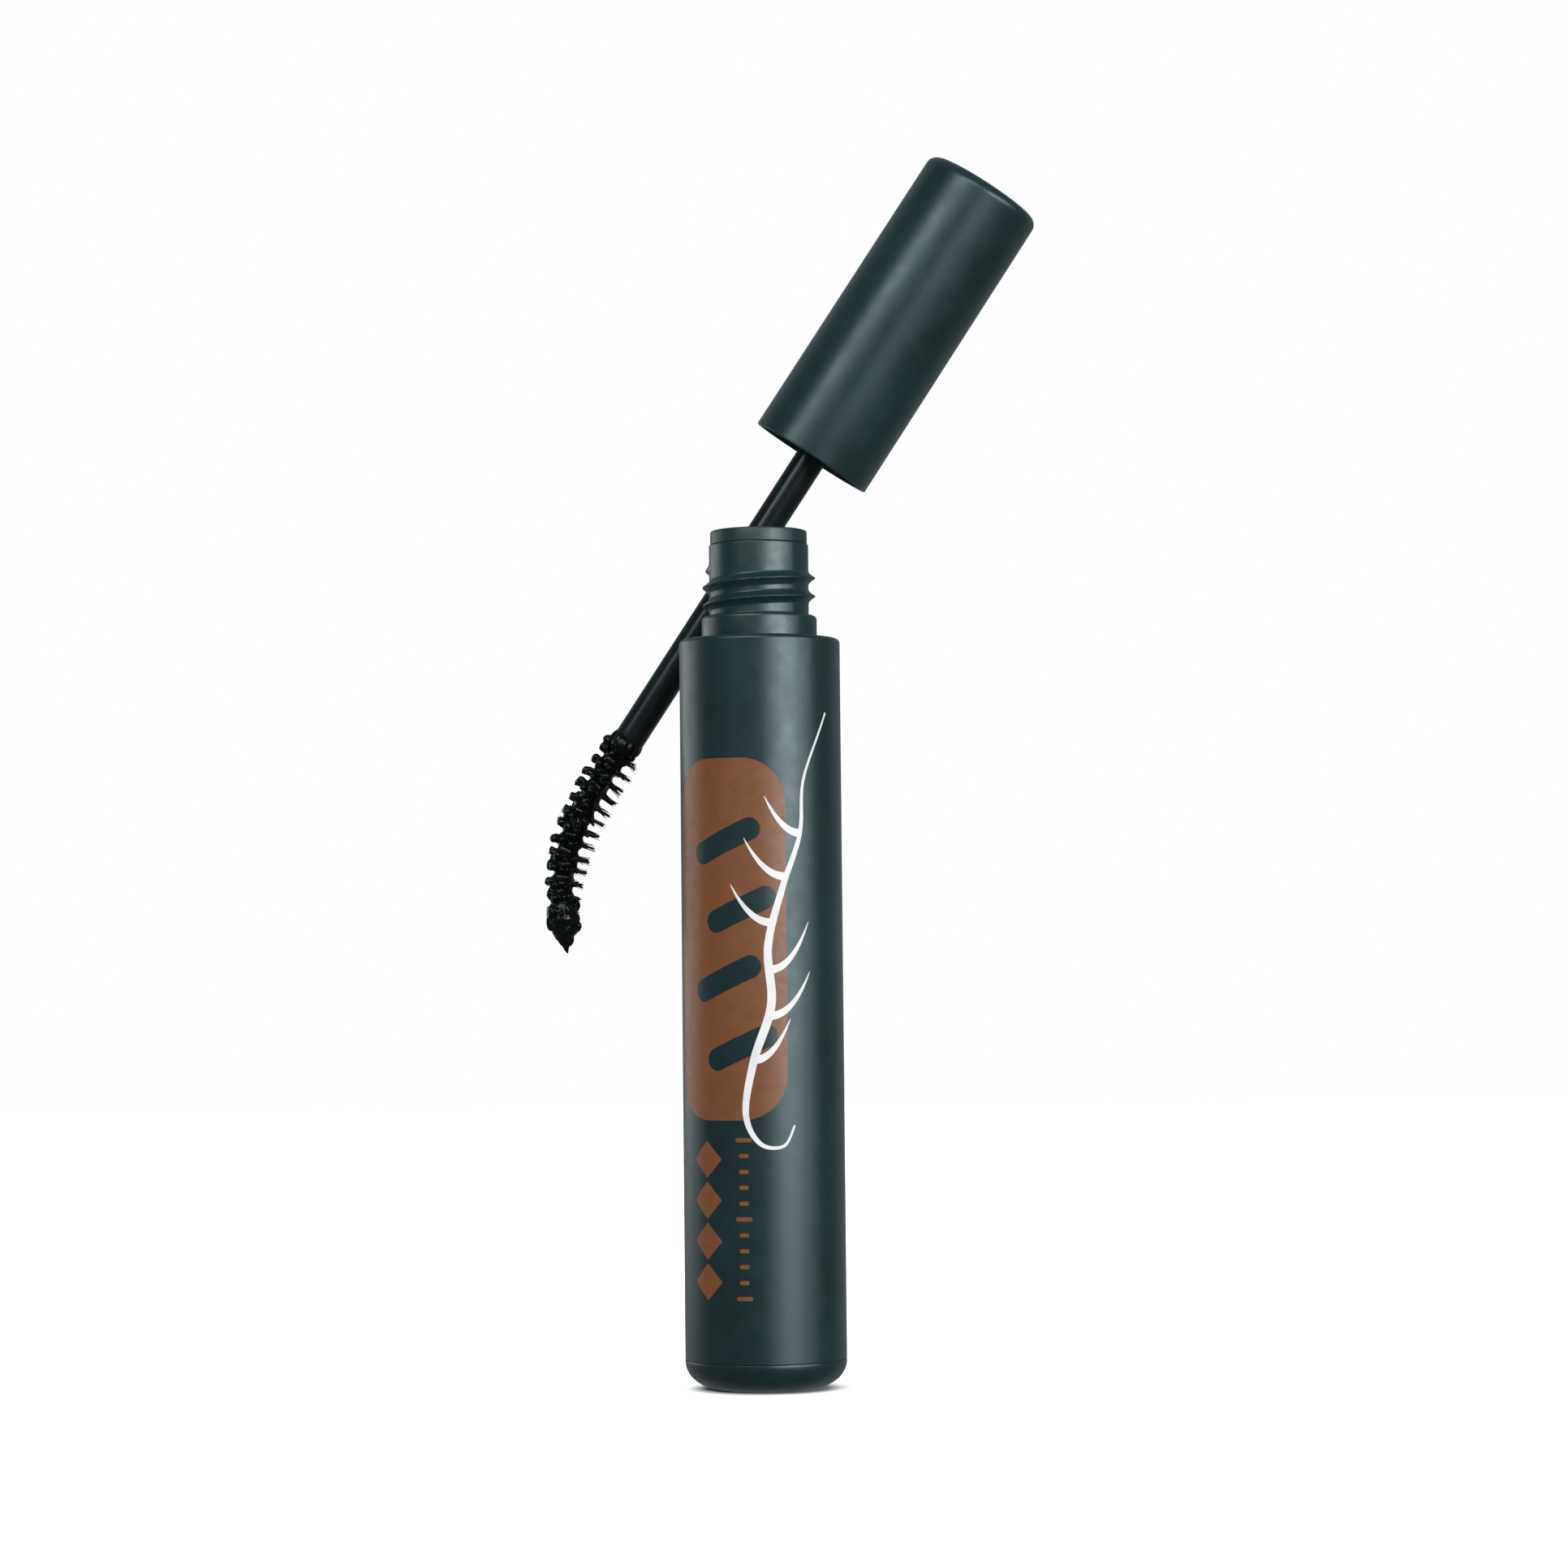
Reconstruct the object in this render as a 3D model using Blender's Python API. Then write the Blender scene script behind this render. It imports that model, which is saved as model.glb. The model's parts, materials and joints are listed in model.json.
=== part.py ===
"""Mascara tube with its wand drawn out, as an assembly of separate pieces.

Metres, +Z up. The tube stands on the XY plane with its axis on Z. The wand lies
behind the neck on its own slanted axis, with the mouth of its cap as its origin.
"""

import math

import bmesh
import bpy
from mathutils import Matrix, Vector

MM = 0.001

# Driving dimensions, in millimetres.
SEGMENTS = 48  # sides of every turned piece
STEM_SEGMENTS = 32
GAP = 0.3  # between pieces that touch on the real object
SEAM = 0.15  # between visible pieces that close up against each other
EASE = 0.15  # small bevel on a moulded edge
MERGE = 0.001

BODY_RADIUS = 9.3
BODY_TOP = 85.9
SLEEVE_WALL = 1.0
SHOULDER_ROUND = 0.6
BASE_SEAM = 3.4
BASE_INSET, BASE_RISE = 4.2, 3.2  # width and height of the foot's rounded edge
PLUG_FLOOR = 1.4
PLUG_WALL = 1.0

VIAL_RADIUS = BODY_RADIUS - SLEEVE_WALL - GAP
VIAL_WALL = 1.0
VIAL_BOTTOM = 4.9
VIAL_FOOT_ROUND = 1.2
VIAL_SHOULDER_ROUND = 0.6
VIAL_SHOULDER = BODY_TOP - SLEEVE_WALL - GAP
COLLAR_RADIUS = 6.65
COLLAR_TOP = 88.6
COLLAR_ROUND = 0.45
NECK_RADIUS = 5.75
NECK_BORE = 4.3
NECK_TOP = 96.9
NECK_EASE = 0.25
THROAT_DROP, THROAT_FLARE = 1.2, 1.2  # where the bore opens out into the vial

THREAD_DEPTH = 0.75
THREAD_PITCH = 25.4 / 12  # twelve turns to the inch
THREAD_ROOT_HALF = 0.58  # half the width of the ridge where it leaves the neck
THREAD_CREST_HALF = 0.26
THREAD_ZERO_Z = 90.9  # height of the ridge's middle on the +X side
THREAD_START, THREAD_END = -230.0, 550.0  # degrees along the helix
THREAD_TOP = 95.1  # above this the neck is plain
THREAD_FADE = 40.0  # degrees over which the ridge rises and dies away
THREAD_ROW = 0.27  # height of one row of faces on a threaded wall
THREAD_TURNS = range(-3, 5)  # whole turns that a helix may be wound through

WIPER_TOP = 98.5
WIPER_FLANGE = 5.6
WIPER_ROUND = 0.3
WIPER_MOUTH, WIPER_MOUTH_DROP = 3.7, 0.5
WIPER_THROAT, THROAT_Z = 3.2, 94.2
ORIFICE_RADIUS, ORIFICE_TOP, ORIFICE_LAND = 2.1, 90.0, 0.6
LIP, LIP_DROP = 0.35, 0.2  # thickness of the lip, and how much lower its outside is
WIPER_SHOULDER = 93.0

FILL_TOP = 66.0
FILL_FOOT_ROUND = 0.9
CHANNEL_RADIUS = 3.5
CHANNEL_FLOOR, CHANNEL_ROUND = 10.5, 1.5
MENISCUS = 0.5

CAP_LENGTH = 37.8
CAP_MOUTH_RADIUS = 7.53
CAP_TOP_RADIUS = 7.41
CAP_BORE = 7.05
CAP_ROUND = 1.2
CAP_ROOF = 1.0
CAP_EASE = 0.12
CAP_INNER_CORNER = ((1.2, 1.0), (0.3, 1.6), (0.0, 2.6))  # in from the bore, down from the top
LINER_RADIUS = 6.93
LINER_BORE = 5.95
LINER_START, LINER_TOP = 2.75, 15.0
LINER_EASE = 0.2
LINER_THREAD_TOP = 10.4
LINER_THREAD_START, LINER_THREAD_END = -250.0, 700.0
GROOVE_DEPTH = 0.67
SCREWED_RISE = 0.1  # of the cap's mouth over the tube's shoulder when it is screwed home
DECK_BOTTOM = 13.8
WASHER_BOTTOM, WASHER_TOP = 12.2, 13.4
STEM_RADIUS = 1.83
STEM_END = -40.4
STEM_END_ROUND = 0.35
BOSS_RADIUS = STEM_RADIUS + 1.15
HEAD_RADIUS, HEAD_HEIGHT = 5.2, 1.2
PIP_RADIUS, PIP_TOP_RADIUS, PIP_HEIGHT = 2.6, 2.2, 3.4

WAND_MOUTH = Vector((6.24, 9.33, 108.27))  # middle of the cap's mouth
WAND_TILT = 33.55  # degrees from upright, towards +X at the top
WAND_LEAN = 4.4  # degrees, towards -Y at the top

BEND_START = -46.3  # where the straight wire starts to curve
BEND_RADIUS = 26.5
WIRE_START, WIRE_LENGTH = -34.9, 30.8
WIRE_RADIUS = 0.42
WIRE_SIDES, WIRE_STEPS, WIRE_TWIST = 8, 48, 3.2
WIRE_LOBE = 0.26  # how far the two strands stand out, as a share of the radius
ROW_COUNT = 14
ROW_FIRST, ROW_PITCH = 1.6, 1.65  # along the wire, from the end of the stem
ROW_BORE = 0.75
ROW_RADIUS = 3.15
ROW_TIP_RADIUS = 1.8
ROW_TAPER_START = 14.0  # along the wire, where the brush starts to narrow
ROW_TURN = 13.0  # degrees from one row's spikes to the next
SPIKES = 10
SPIKE_ROOT = 0.62  # radius between two spikes, as a share of their length
ROW_HALF, SPIKE_HALF = 0.3, 0.14  # half of a row's thickness at the wire and at its tips


def clear_scene():
    """Remove whatever the scene starts with."""
    for found in list(bpy.data.objects):
        bpy.data.objects.remove(found, do_unlink=True)


def plain_material(name, colour, roughness, metallic=0.0):
    """A Principled material of one colour."""
    made = bpy.data.materials.new(name)
    made.use_nodes = True
    shader = made.node_tree.nodes["Principled BSDF"]
    shader.inputs["Base Color"].default_value = (*colour, 1.0)
    shader.inputs["Roughness"].default_value = roughness
    shader.inputs["Metallic"].default_value = metallic
    made.diffuse_color = (*colour, 1.0)
    return made


def empty_at(name, matrix, parent=None):
    """An empty that carries the pieces of one assembly."""
    made = bpy.data.objects.new(name, None)
    bpy.context.scene.collection.objects.link(made)
    made.empty_display_size = 10 * MM
    made.parent = parent
    made.matrix_local = matrix
    return made


def object_from(name, bm, material, parent):
    """Turn a bmesh in millimetres into a named object in metres."""
    bmesh.ops.remove_doubles(bm, verts=bm.verts, dist=MERGE)
    bmesh.ops.recalc_face_normals(bm, faces=bm.faces)
    bmesh.ops.scale(bm, vec=(MM, MM, MM), verts=bm.verts)
    mesh = bpy.data.meshes.new(name)
    bm.to_mesh(mesh)
    bm.free()
    mesh.shade_smooth()
    mesh.set_sharp_from_angle(angle=math.radians(35))
    mesh.materials.append(material)
    made = bpy.data.objects.new(name, mesh)
    made.parent = parent
    bpy.context.scene.collection.objects.link(made)
    return made


def arc(centre, radius, first, last, steps=5, rise=None):
    """Points of a round corner in the (r, z) plane, angles in degrees.

    With a rise, the corner is that tall and a radius wide.
    """
    tall = radius if rise is None else rise
    angles = [math.radians(first + (last - first) * i / steps) for i in range(steps + 1)]
    return [(centre[0] + radius * math.cos(a), centre[1] + tall * math.sin(a)) for a in angles]


def rows(radius, low, high):
    """Evenly spaced points up a straight wall that a thread will be raised on."""
    count = math.ceil((high - low) / THREAD_ROW)
    return [(radius, low + (high - low) * i / count) for i in range(count + 1)]


def turned(outline, segments=SEGMENTS):
    """Spin an outline of (r, z) points about Z. It closes on the axis or on itself."""
    bm = bmesh.new()
    points = [bm.verts.new((r, 0.0, z)) for r, z in outline]
    on_axis = outline[0][0] == 0.0 and outline[-1][0] == 0.0
    pairs = list(zip(points, points[1:]))
    if not on_axis:
        pairs.append((points[-1], points[0]))
    edges = [bm.edges.new(pair) for pair in pairs]
    bmesh.ops.spin(
        bm,
        geom=points + edges,
        cent=(0.0, 0.0, 0.0),
        axis=(0.0, 0.0, 1.0),
        angle=math.tau,
        steps=segments,
        use_duplicate=False,
    )
    bmesh.ops.remove_doubles(bm, verts=bm.verts, dist=MERGE)
    return bm


def ridge_height(x, y, z, zero_z, start, end):
    """Height, from 0 to 1, of a right-hand helical ridge over the point (x, y, z)."""
    around = math.degrees(math.atan2(y, x))
    best = 0.0
    for turn in THREAD_TURNS:
        along = around + 360.0 * turn
        if not start <= along <= end:
            continue
        offset = abs(z - zero_z - THREAD_PITCH * along / 360.0)
        flank = (THREAD_ROOT_HALF - offset) / (THREAD_ROOT_HALF - THREAD_CREST_HALF)
        ends = min((along - start) / THREAD_FADE, (end - along) / THREAD_FADE, 1.0)
        best = max(best, min(max(flank, 0.0), 1.0) * ends)
    return best


def raise_thread(bm, wall_radius, low, high, depth, zero_z, start, end):
    """Push a helical ridge out of the rows of a straight wall, short of both its ends."""
    margin = THREAD_ROW / 4
    for vert in bm.verts:
        x, y, z = vert.co
        radius = math.hypot(x, y)
        if abs(radius - wall_radius) > 0.01 or not low + margin < z < high - margin:
            continue
        grown = radius + depth * ridge_height(x, y, z, zero_z, start, end)
        vert.co.x, vert.co.y = x * grown / radius, y * grown / radius


def outer_sleeve(material, parent):
    """Outer wall of the tube, open below for the vial, with a flat shoulder."""
    inner = BODY_RADIUS - SLEEVE_WALL
    hole = COLLAR_RADIUS + GAP
    corner = (BODY_RADIUS - SHOULDER_ROUND, BODY_TOP - SHOULDER_ROUND)
    outline = [
        (inner, BASE_SEAM),
        (BODY_RADIUS, BASE_SEAM),
        *arc(corner, SHOULDER_ROUND, 0, 90),
        (hole + EASE, BODY_TOP),
        (hole, BODY_TOP - EASE),
        (hole, BODY_TOP - SLEEVE_WALL),
        (inner, BODY_TOP - SLEEVE_WALL),
    ]
    return object_from("outer_sleeve", turned(outline), material, parent)


def base_plug(material, parent):
    """Round-edged foot with a hollow spigot that closes the sleeve."""
    spigot = VIAL_RADIUS
    spigot_top = VIAL_BOTTOM - GAP
    outline = [
        (0.0, PLUG_FLOOR),
        (spigot - PLUG_WALL, PLUG_FLOOR),
        (spigot - PLUG_WALL, spigot_top),
        (spigot - EASE, spigot_top),
        (spigot, spigot_top - EASE),
        (spigot, BASE_SEAM - SEAM),
        (BODY_RADIUS, BASE_SEAM - SEAM),
        *arc((BODY_RADIUS - BASE_INSET, BASE_RISE), BASE_INSET, 0, -90, 8, BASE_RISE),
        (0.0, 0.0),
    ]
    return object_from("base_plug", turned(outline), material, parent)


def inner_vial(material, parent):
    """Bottle that holds the mascara, with its collar and threaded neck."""
    inside = VIAL_RADIUS - VIAL_WALL
    foot = (VIAL_RADIUS - VIAL_FOOT_ROUND, VIAL_BOTTOM + VIAL_FOOT_ROUND)
    inner_round = VIAL_FOOT_ROUND - VIAL_WALL / 2
    outline = [
        (0.0, VIAL_BOTTOM),
        *arc(foot, VIAL_FOOT_ROUND, -90, 0, 4),
        *arc((VIAL_RADIUS - VIAL_SHOULDER_ROUND, VIAL_SHOULDER - VIAL_SHOULDER_ROUND), VIAL_SHOULDER_ROUND, 0, 90, 3),
        (COLLAR_RADIUS, VIAL_SHOULDER),
        *arc((COLLAR_RADIUS - COLLAR_ROUND, COLLAR_TOP - COLLAR_ROUND), COLLAR_ROUND, 0, 90, 3),
        *rows(NECK_RADIUS, COLLAR_TOP, THREAD_TOP),
        (NECK_RADIUS, NECK_TOP - NECK_EASE),
        (NECK_RADIUS - NECK_EASE, NECK_TOP),
        (NECK_BORE, NECK_TOP),
        (NECK_BORE, VIAL_SHOULDER - THROAT_DROP),
        (inside, VIAL_SHOULDER - THROAT_DROP - THROAT_FLARE),
        *arc((inside - inner_round, VIAL_BOTTOM + VIAL_WALL + inner_round), inner_round, 0, -90, 3),
        (0.0, VIAL_BOTTOM + VIAL_WALL),
    ]
    bm = turned(outline)
    raise_thread(bm, NECK_RADIUS, COLLAR_TOP, THREAD_TOP, THREAD_DEPTH, THREAD_ZERO_Z, THREAD_START, THREAD_END)
    return object_from("inner_vial", bm, material, parent)


def wiper(material, parent):
    """Flanged funnel in the neck, which strips the brush as it is drawn out."""
    sleeve = NECK_BORE - GAP
    flange_bottom = NECK_TOP + SEAM
    orifice_bottom = ORIFICE_TOP - ORIFICE_LAND
    outline = [
        (WIPER_THROAT, THROAT_Z),
        (ORIFICE_RADIUS, ORIFICE_TOP),
        (ORIFICE_RADIUS, orifice_bottom),
        (ORIFICE_RADIUS + LIP, orifice_bottom - LIP_DROP),
        (sleeve - EASE, WIPER_SHOULDER - LIP),
        (sleeve, WIPER_SHOULDER),
        (sleeve, flange_bottom),
        (WIPER_FLANGE, flange_bottom),
        *arc((WIPER_FLANGE - WIPER_ROUND, WIPER_TOP - WIPER_ROUND), WIPER_ROUND, 0, 90, 3),
        (WIPER_MOUTH, WIPER_TOP),
        (WIPER_THROAT, WIPER_TOP - WIPER_MOUTH_DROP),
    ]
    return object_from("wiper", turned(outline), material, parent)


def mascara_fill(material, parent):
    """The paste in the vial, with the channel that the brush leaves in it."""
    outside = VIAL_RADIUS - VIAL_WALL - GAP
    floor = VIAL_BOTTOM + VIAL_WALL + GAP
    outline = [
        (0.0, floor),
        *arc((outside - FILL_FOOT_ROUND, floor + FILL_FOOT_ROUND), FILL_FOOT_ROUND, -90, 0, 3),
        (outside, FILL_TOP),
        (outside - MENISCUS, FILL_TOP + MENISCUS),
        (CHANNEL_RADIUS + MENISCUS, FILL_TOP + MENISCUS / 2),
        (CHANNEL_RADIUS, FILL_TOP - MENISCUS),
        *arc((CHANNEL_RADIUS - CHANNEL_ROUND, CHANNEL_FLOOR + CHANNEL_ROUND), CHANNEL_ROUND, 0, -90, 3),
        (0.0, CHANNEL_FLOOR),
    ]
    return object_from("mascara_fill", turned(outline), material, parent)


def cap_shell(material, parent):
    """Outer cap: a thin round-topped shell, open at its mouth."""
    corner = (CAP_TOP_RADIUS - CAP_ROUND, CAP_LENGTH - CAP_ROUND)
    outline = [
        (0.0, CAP_LENGTH - CAP_ROOF),
        *[(CAP_BORE - inward, CAP_LENGTH - down) for inward, down in CAP_INNER_CORNER],
        (CAP_BORE, CAP_EASE),
        (CAP_BORE + CAP_EASE, 0.0),
        (CAP_MOUTH_RADIUS - CAP_EASE, 0.0),
        (CAP_MOUTH_RADIUS, CAP_EASE),
        *arc(corner, CAP_ROUND, 0, 90, 6),
        (0.0, CAP_LENGTH),
    ]
    return object_from("cap_shell", turned(outline), material, parent)


def inner_cap(material, parent):
    """Threaded liner that screws onto the neck, with a deck that holds the stem."""
    hole = BOSS_RADIUS + GAP
    outline = [
        (LINER_RADIUS, LINER_START),
        (LINER_RADIUS, LINER_TOP - LINER_EASE),
        (LINER_RADIUS - LINER_EASE, LINER_TOP),
        (hole, LINER_TOP),
        (hole, DECK_BOTTOM),
        (LINER_BORE, DECK_BOTTOM),
        *reversed(rows(LINER_BORE, LINER_START + GAP, LINER_THREAD_TOP)),
        (LINER_BORE + GAP, LINER_START),
    ]
    bm = turned(outline)
    zero_z = THREAD_ZERO_Z - BODY_TOP - SCREWED_RISE
    raise_thread(
        bm, LINER_BORE, LINER_START, LINER_THREAD_TOP, GROOVE_DEPTH,
        zero_z, LINER_THREAD_START, LINER_THREAD_END,
    )
    return object_from("inner_cap", bm, material, parent)


def seal_washer(material, parent):
    """Foam ring under the liner's deck, which seals on the wiper's flange."""
    outline = [
        (STEM_RADIUS + GAP, WASHER_BOTTOM),
        (STEM_RADIUS + GAP, WASHER_TOP),
        (LINER_BORE - GAP, WASHER_TOP),
        (LINER_BORE - GAP, WASHER_BOTTOM),
    ]
    return object_from("seal_washer", turned(outline), material, parent)


def stem(material, parent):
    """Rod of the wand: a head held in the liner's deck, and a bore for the wire."""
    head = LINER_TOP + GAP
    bore_top = WIRE_START + GAP
    outline = [
        (0.0, bore_top),
        (ROW_BORE, bore_top),
        (ROW_BORE, STEM_END),
        (STEM_RADIUS - STEM_END_ROUND, STEM_END),
        *arc((STEM_RADIUS - STEM_END_ROUND, STEM_END + STEM_END_ROUND), STEM_END_ROUND, -90, 0, 3),
        (STEM_RADIUS, WASHER_TOP + SEAM),
        (BOSS_RADIUS, WASHER_TOP + SEAM),
        (BOSS_RADIUS, head),
        (HEAD_RADIUS, head),
        (HEAD_RADIUS, head + HEAD_HEIGHT),
        (PIP_RADIUS, head + HEAD_HEIGHT),
        (PIP_TOP_RADIUS, head + PIP_HEIGHT),
        (0.0, head + PIP_HEIGHT),
    ]
    return object_from("stem", turned(outline, STEM_SEGMENTS), material, parent)


def wire_frame(along):
    """Position and turn of the brush's centre line, at a distance from the stem's end."""
    straight = STEM_END - BEND_START
    if along <= straight:
        return Vector((0.0, 0.0, STEM_END - along)), 0.0
    angle = (along - straight) / BEND_RADIUS
    across = BEND_RADIUS * (1.0 - math.cos(angle))
    down = BEND_START - BEND_RADIUS * math.sin(angle)
    return Vector((across, 0.0, down)), angle


def placed_ring(bm, along, points):
    """Add a ring of (x, y, rise) points square to the brush's centre line."""
    centre, angle = wire_frame(along)
    turn = Matrix.Rotation(-angle, 3, "Y")
    return [bm.verts.new(centre + turn @ Vector(point)) for point in points]


def skin(bm, rings, closed=False):
    """Join rings of vertices with faces, then cap the ends unless the rings form a loop."""
    pairs = list(zip(rings, rings[1:]))
    if closed:
        pairs.append((rings[-1], rings[0]))
    for one, two in pairs:
        count = len(one)
        for i in range(count):
            bm.faces.new((one[i], one[(i + 1) % count], two[(i + 1) % count], two[i]))
    if not closed:
        bm.faces.new(rings[0])
        bm.faces.new(rings[-1])


def brush_wire(material, parent):
    """Two strands of wire twisted together, swept along the bent centre line."""
    bm = bmesh.new()
    rings = []
    for step in range(WIRE_STEPS + 1):
        along = STEM_END - WIRE_START + WIRE_LENGTH * step / WIRE_STEPS
        twist = math.tau * along / WIRE_TWIST
        points = []
        for side in range(WIRE_SIDES):
            angle = math.tau * side / WIRE_SIDES
            radius = WIRE_RADIUS * (1.0 - WIRE_LOBE + WIRE_LOBE * math.cos(2.0 * (angle - twist)))
            points.append((radius * math.cos(angle), radius * math.sin(angle), 0.0))
        rings.append(placed_ring(bm, along, points))
    skin(bm, rings)
    return object_from("brush_wire", bm, material, parent)


def row_radius(along):
    """Length of the bristles, which shorten towards the tip."""
    last = ROW_FIRST + ROW_PITCH * (ROW_COUNT - 1)
    fraction = max(0.0, (along - ROW_TAPER_START) / (last - ROW_TAPER_START))
    return ROW_RADIUS + (ROW_TIP_RADIUS - ROW_RADIUS) * fraction


def bristle_row(number, material, parent):
    """One turn of clumped bristles: a flat star with a hole for the wire."""
    along = ROW_FIRST + ROW_PITCH * number
    reach = row_radius(along)
    phase = number * math.radians(ROW_TURN)
    bore, star = (ROW_BORE, ROW_BORE), (reach, reach * SPIKE_ROOT)
    corners = ((bore, ROW_HALF), (bore, -ROW_HALF), (star, -SPIKE_HALF), (star, SPIKE_HALF))
    bm = bmesh.new()
    loops = []
    for radii, rise in corners:
        points = []
        for i in range(2 * SPIKES):
            angle = phase + math.pi * i / SPIKES
            points.append((radii[i % 2] * math.cos(angle), radii[i % 2] * math.sin(angle), rise))
        loops.append(placed_ring(bm, along, points))
    skin(bm, loops, closed=True)
    return object_from(f"bristle_row_{number + 1:02d}", bm, material, parent)


def wand_matrix():
    """Place of the wand: its origin at the cap's mouth, local +Z to the cap's top."""
    tilt, lean = math.radians(WAND_TILT), math.radians(WAND_LEAN)
    upward = Vector((
        math.sin(tilt) * math.cos(lean),
        -math.sin(lean),
        math.cos(tilt) * math.cos(lean),
    ))
    across = Vector((0.0, 1.0, 0.0)).cross(upward).normalized()
    back = upward.cross(across)
    turn = Matrix((across, back, upward)).transposed().to_4x4()
    return Matrix.Translation(WAND_MOUTH * MM) @ turn


def build():
    """Make every piece under the empties of the tube, the seal and the wand."""
    clear_scene()
    soft_touch = plain_material("soft_touch_green_grey", (0.024, 0.040, 0.041), 0.42)
    neck_plastic = plain_material("neck_plastic", (0.020, 0.036, 0.036), 0.34)
    clear_rubber = plain_material("wiper_rubber", (0.030, 0.046, 0.047), 0.45)
    paste = plain_material("black_paste", (0.004, 0.004, 0.005), 0.16)
    liner_plastic = plain_material("liner_plastic", (0.012, 0.014, 0.014), 0.40)
    foam = plain_material("white_foam", (0.75, 0.75, 0.72), 0.85)
    gloss_black = plain_material("gloss_black_plastic", (0.006, 0.009, 0.009), 0.12)
    steel = plain_material("twisted_steel", (0.55, 0.55, 0.56), 0.30, 1.0)
    nylon = plain_material("black_nylon", (0.006, 0.006, 0.007), 0.25)

    tube = empty_at("tube", Matrix.Identity(4))
    outer_sleeve(soft_touch, tube)
    base_plug(soft_touch, tube)
    inner_vial(neck_plastic, tube)
    wiper(clear_rubber, tube)
    mascara_fill(paste, tube)

    draw_axis = empty_at("wand_draw_axis", wand_matrix())
    seal_washer(foam, draw_axis)
    turn_axis = empty_at("cap_turn_axis", Matrix.Identity(4), draw_axis)
    cap_shell(soft_touch, turn_axis)
    inner_cap(liner_plastic, turn_axis)
    stem(gloss_black, turn_axis)
    brush_wire(steel, turn_axis)
    for number in range(ROW_COUNT):
        bristle_row(number, nylon, turn_axis)


build()
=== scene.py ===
"""Looks of an open mascara tube: lacquered tube and cap, moulded neck, glossy stem and a loaded brush.

Every size is in millimetres in its class, apart from the softboxes, and becomes metres where a mesh is
made. The tube stands on the XY plane with its axis on Z. The wand's pieces are modelled upright, with the
middle of the cap's mouth at the origin, and are then carried to the wand's slanted axis, which the frame's
own joint gives.
"""

import json
import logging
import math
import random
from collections.abc import Callable, Iterable, Iterator, Sequence
from contextlib import contextmanager
from dataclasses import dataclass, field, replace
from enum import Enum

import bmesh
import bpy
from mathutils import Matrix, Vector, noise

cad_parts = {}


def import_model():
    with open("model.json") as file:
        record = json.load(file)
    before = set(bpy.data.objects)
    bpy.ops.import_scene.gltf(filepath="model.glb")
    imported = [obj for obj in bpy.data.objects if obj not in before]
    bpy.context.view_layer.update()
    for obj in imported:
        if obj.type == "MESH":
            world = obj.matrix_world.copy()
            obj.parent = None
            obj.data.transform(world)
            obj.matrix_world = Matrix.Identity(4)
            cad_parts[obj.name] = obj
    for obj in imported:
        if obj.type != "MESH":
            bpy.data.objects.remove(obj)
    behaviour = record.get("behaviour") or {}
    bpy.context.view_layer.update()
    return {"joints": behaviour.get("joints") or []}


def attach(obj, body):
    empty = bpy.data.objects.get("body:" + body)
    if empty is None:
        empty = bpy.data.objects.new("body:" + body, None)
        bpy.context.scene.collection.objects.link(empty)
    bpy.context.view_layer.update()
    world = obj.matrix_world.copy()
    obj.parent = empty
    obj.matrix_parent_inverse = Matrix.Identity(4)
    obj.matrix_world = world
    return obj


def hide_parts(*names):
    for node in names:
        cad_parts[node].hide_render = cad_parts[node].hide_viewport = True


MM = 0.001
LOG = logging.getLogger("mascara")
Point = tuple[float, float]
Triple = tuple[float, float, float]
Colour = Triple
Socket = bpy.types.NodeSocket
Piece = bpy.types.Object
Material = bpy.types.Material
Gather = bmesh.types.BMesh
AXIS = 0.05  # radius of the discs that close a round piece on its axis, in millimetres


class Body(Enum):
    """The moving bodies of the frame."""

    TUBE = "tube"
    SEAL = "seal"
    WAND = "wand"


class Slot(Enum):
    """The record's material slots."""

    TUBE = "tube_body"
    CAP = "cap"
    NECK = "neck"
    WIPER = "wiper"
    PASTE = "paste"
    LINER = "liner"
    FOAM = "foam"
    STEM = "stem"
    WIRE = "wire"
    BRISTLES = "bristles"


# ---------------------------------------------------------------- finishes


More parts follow.
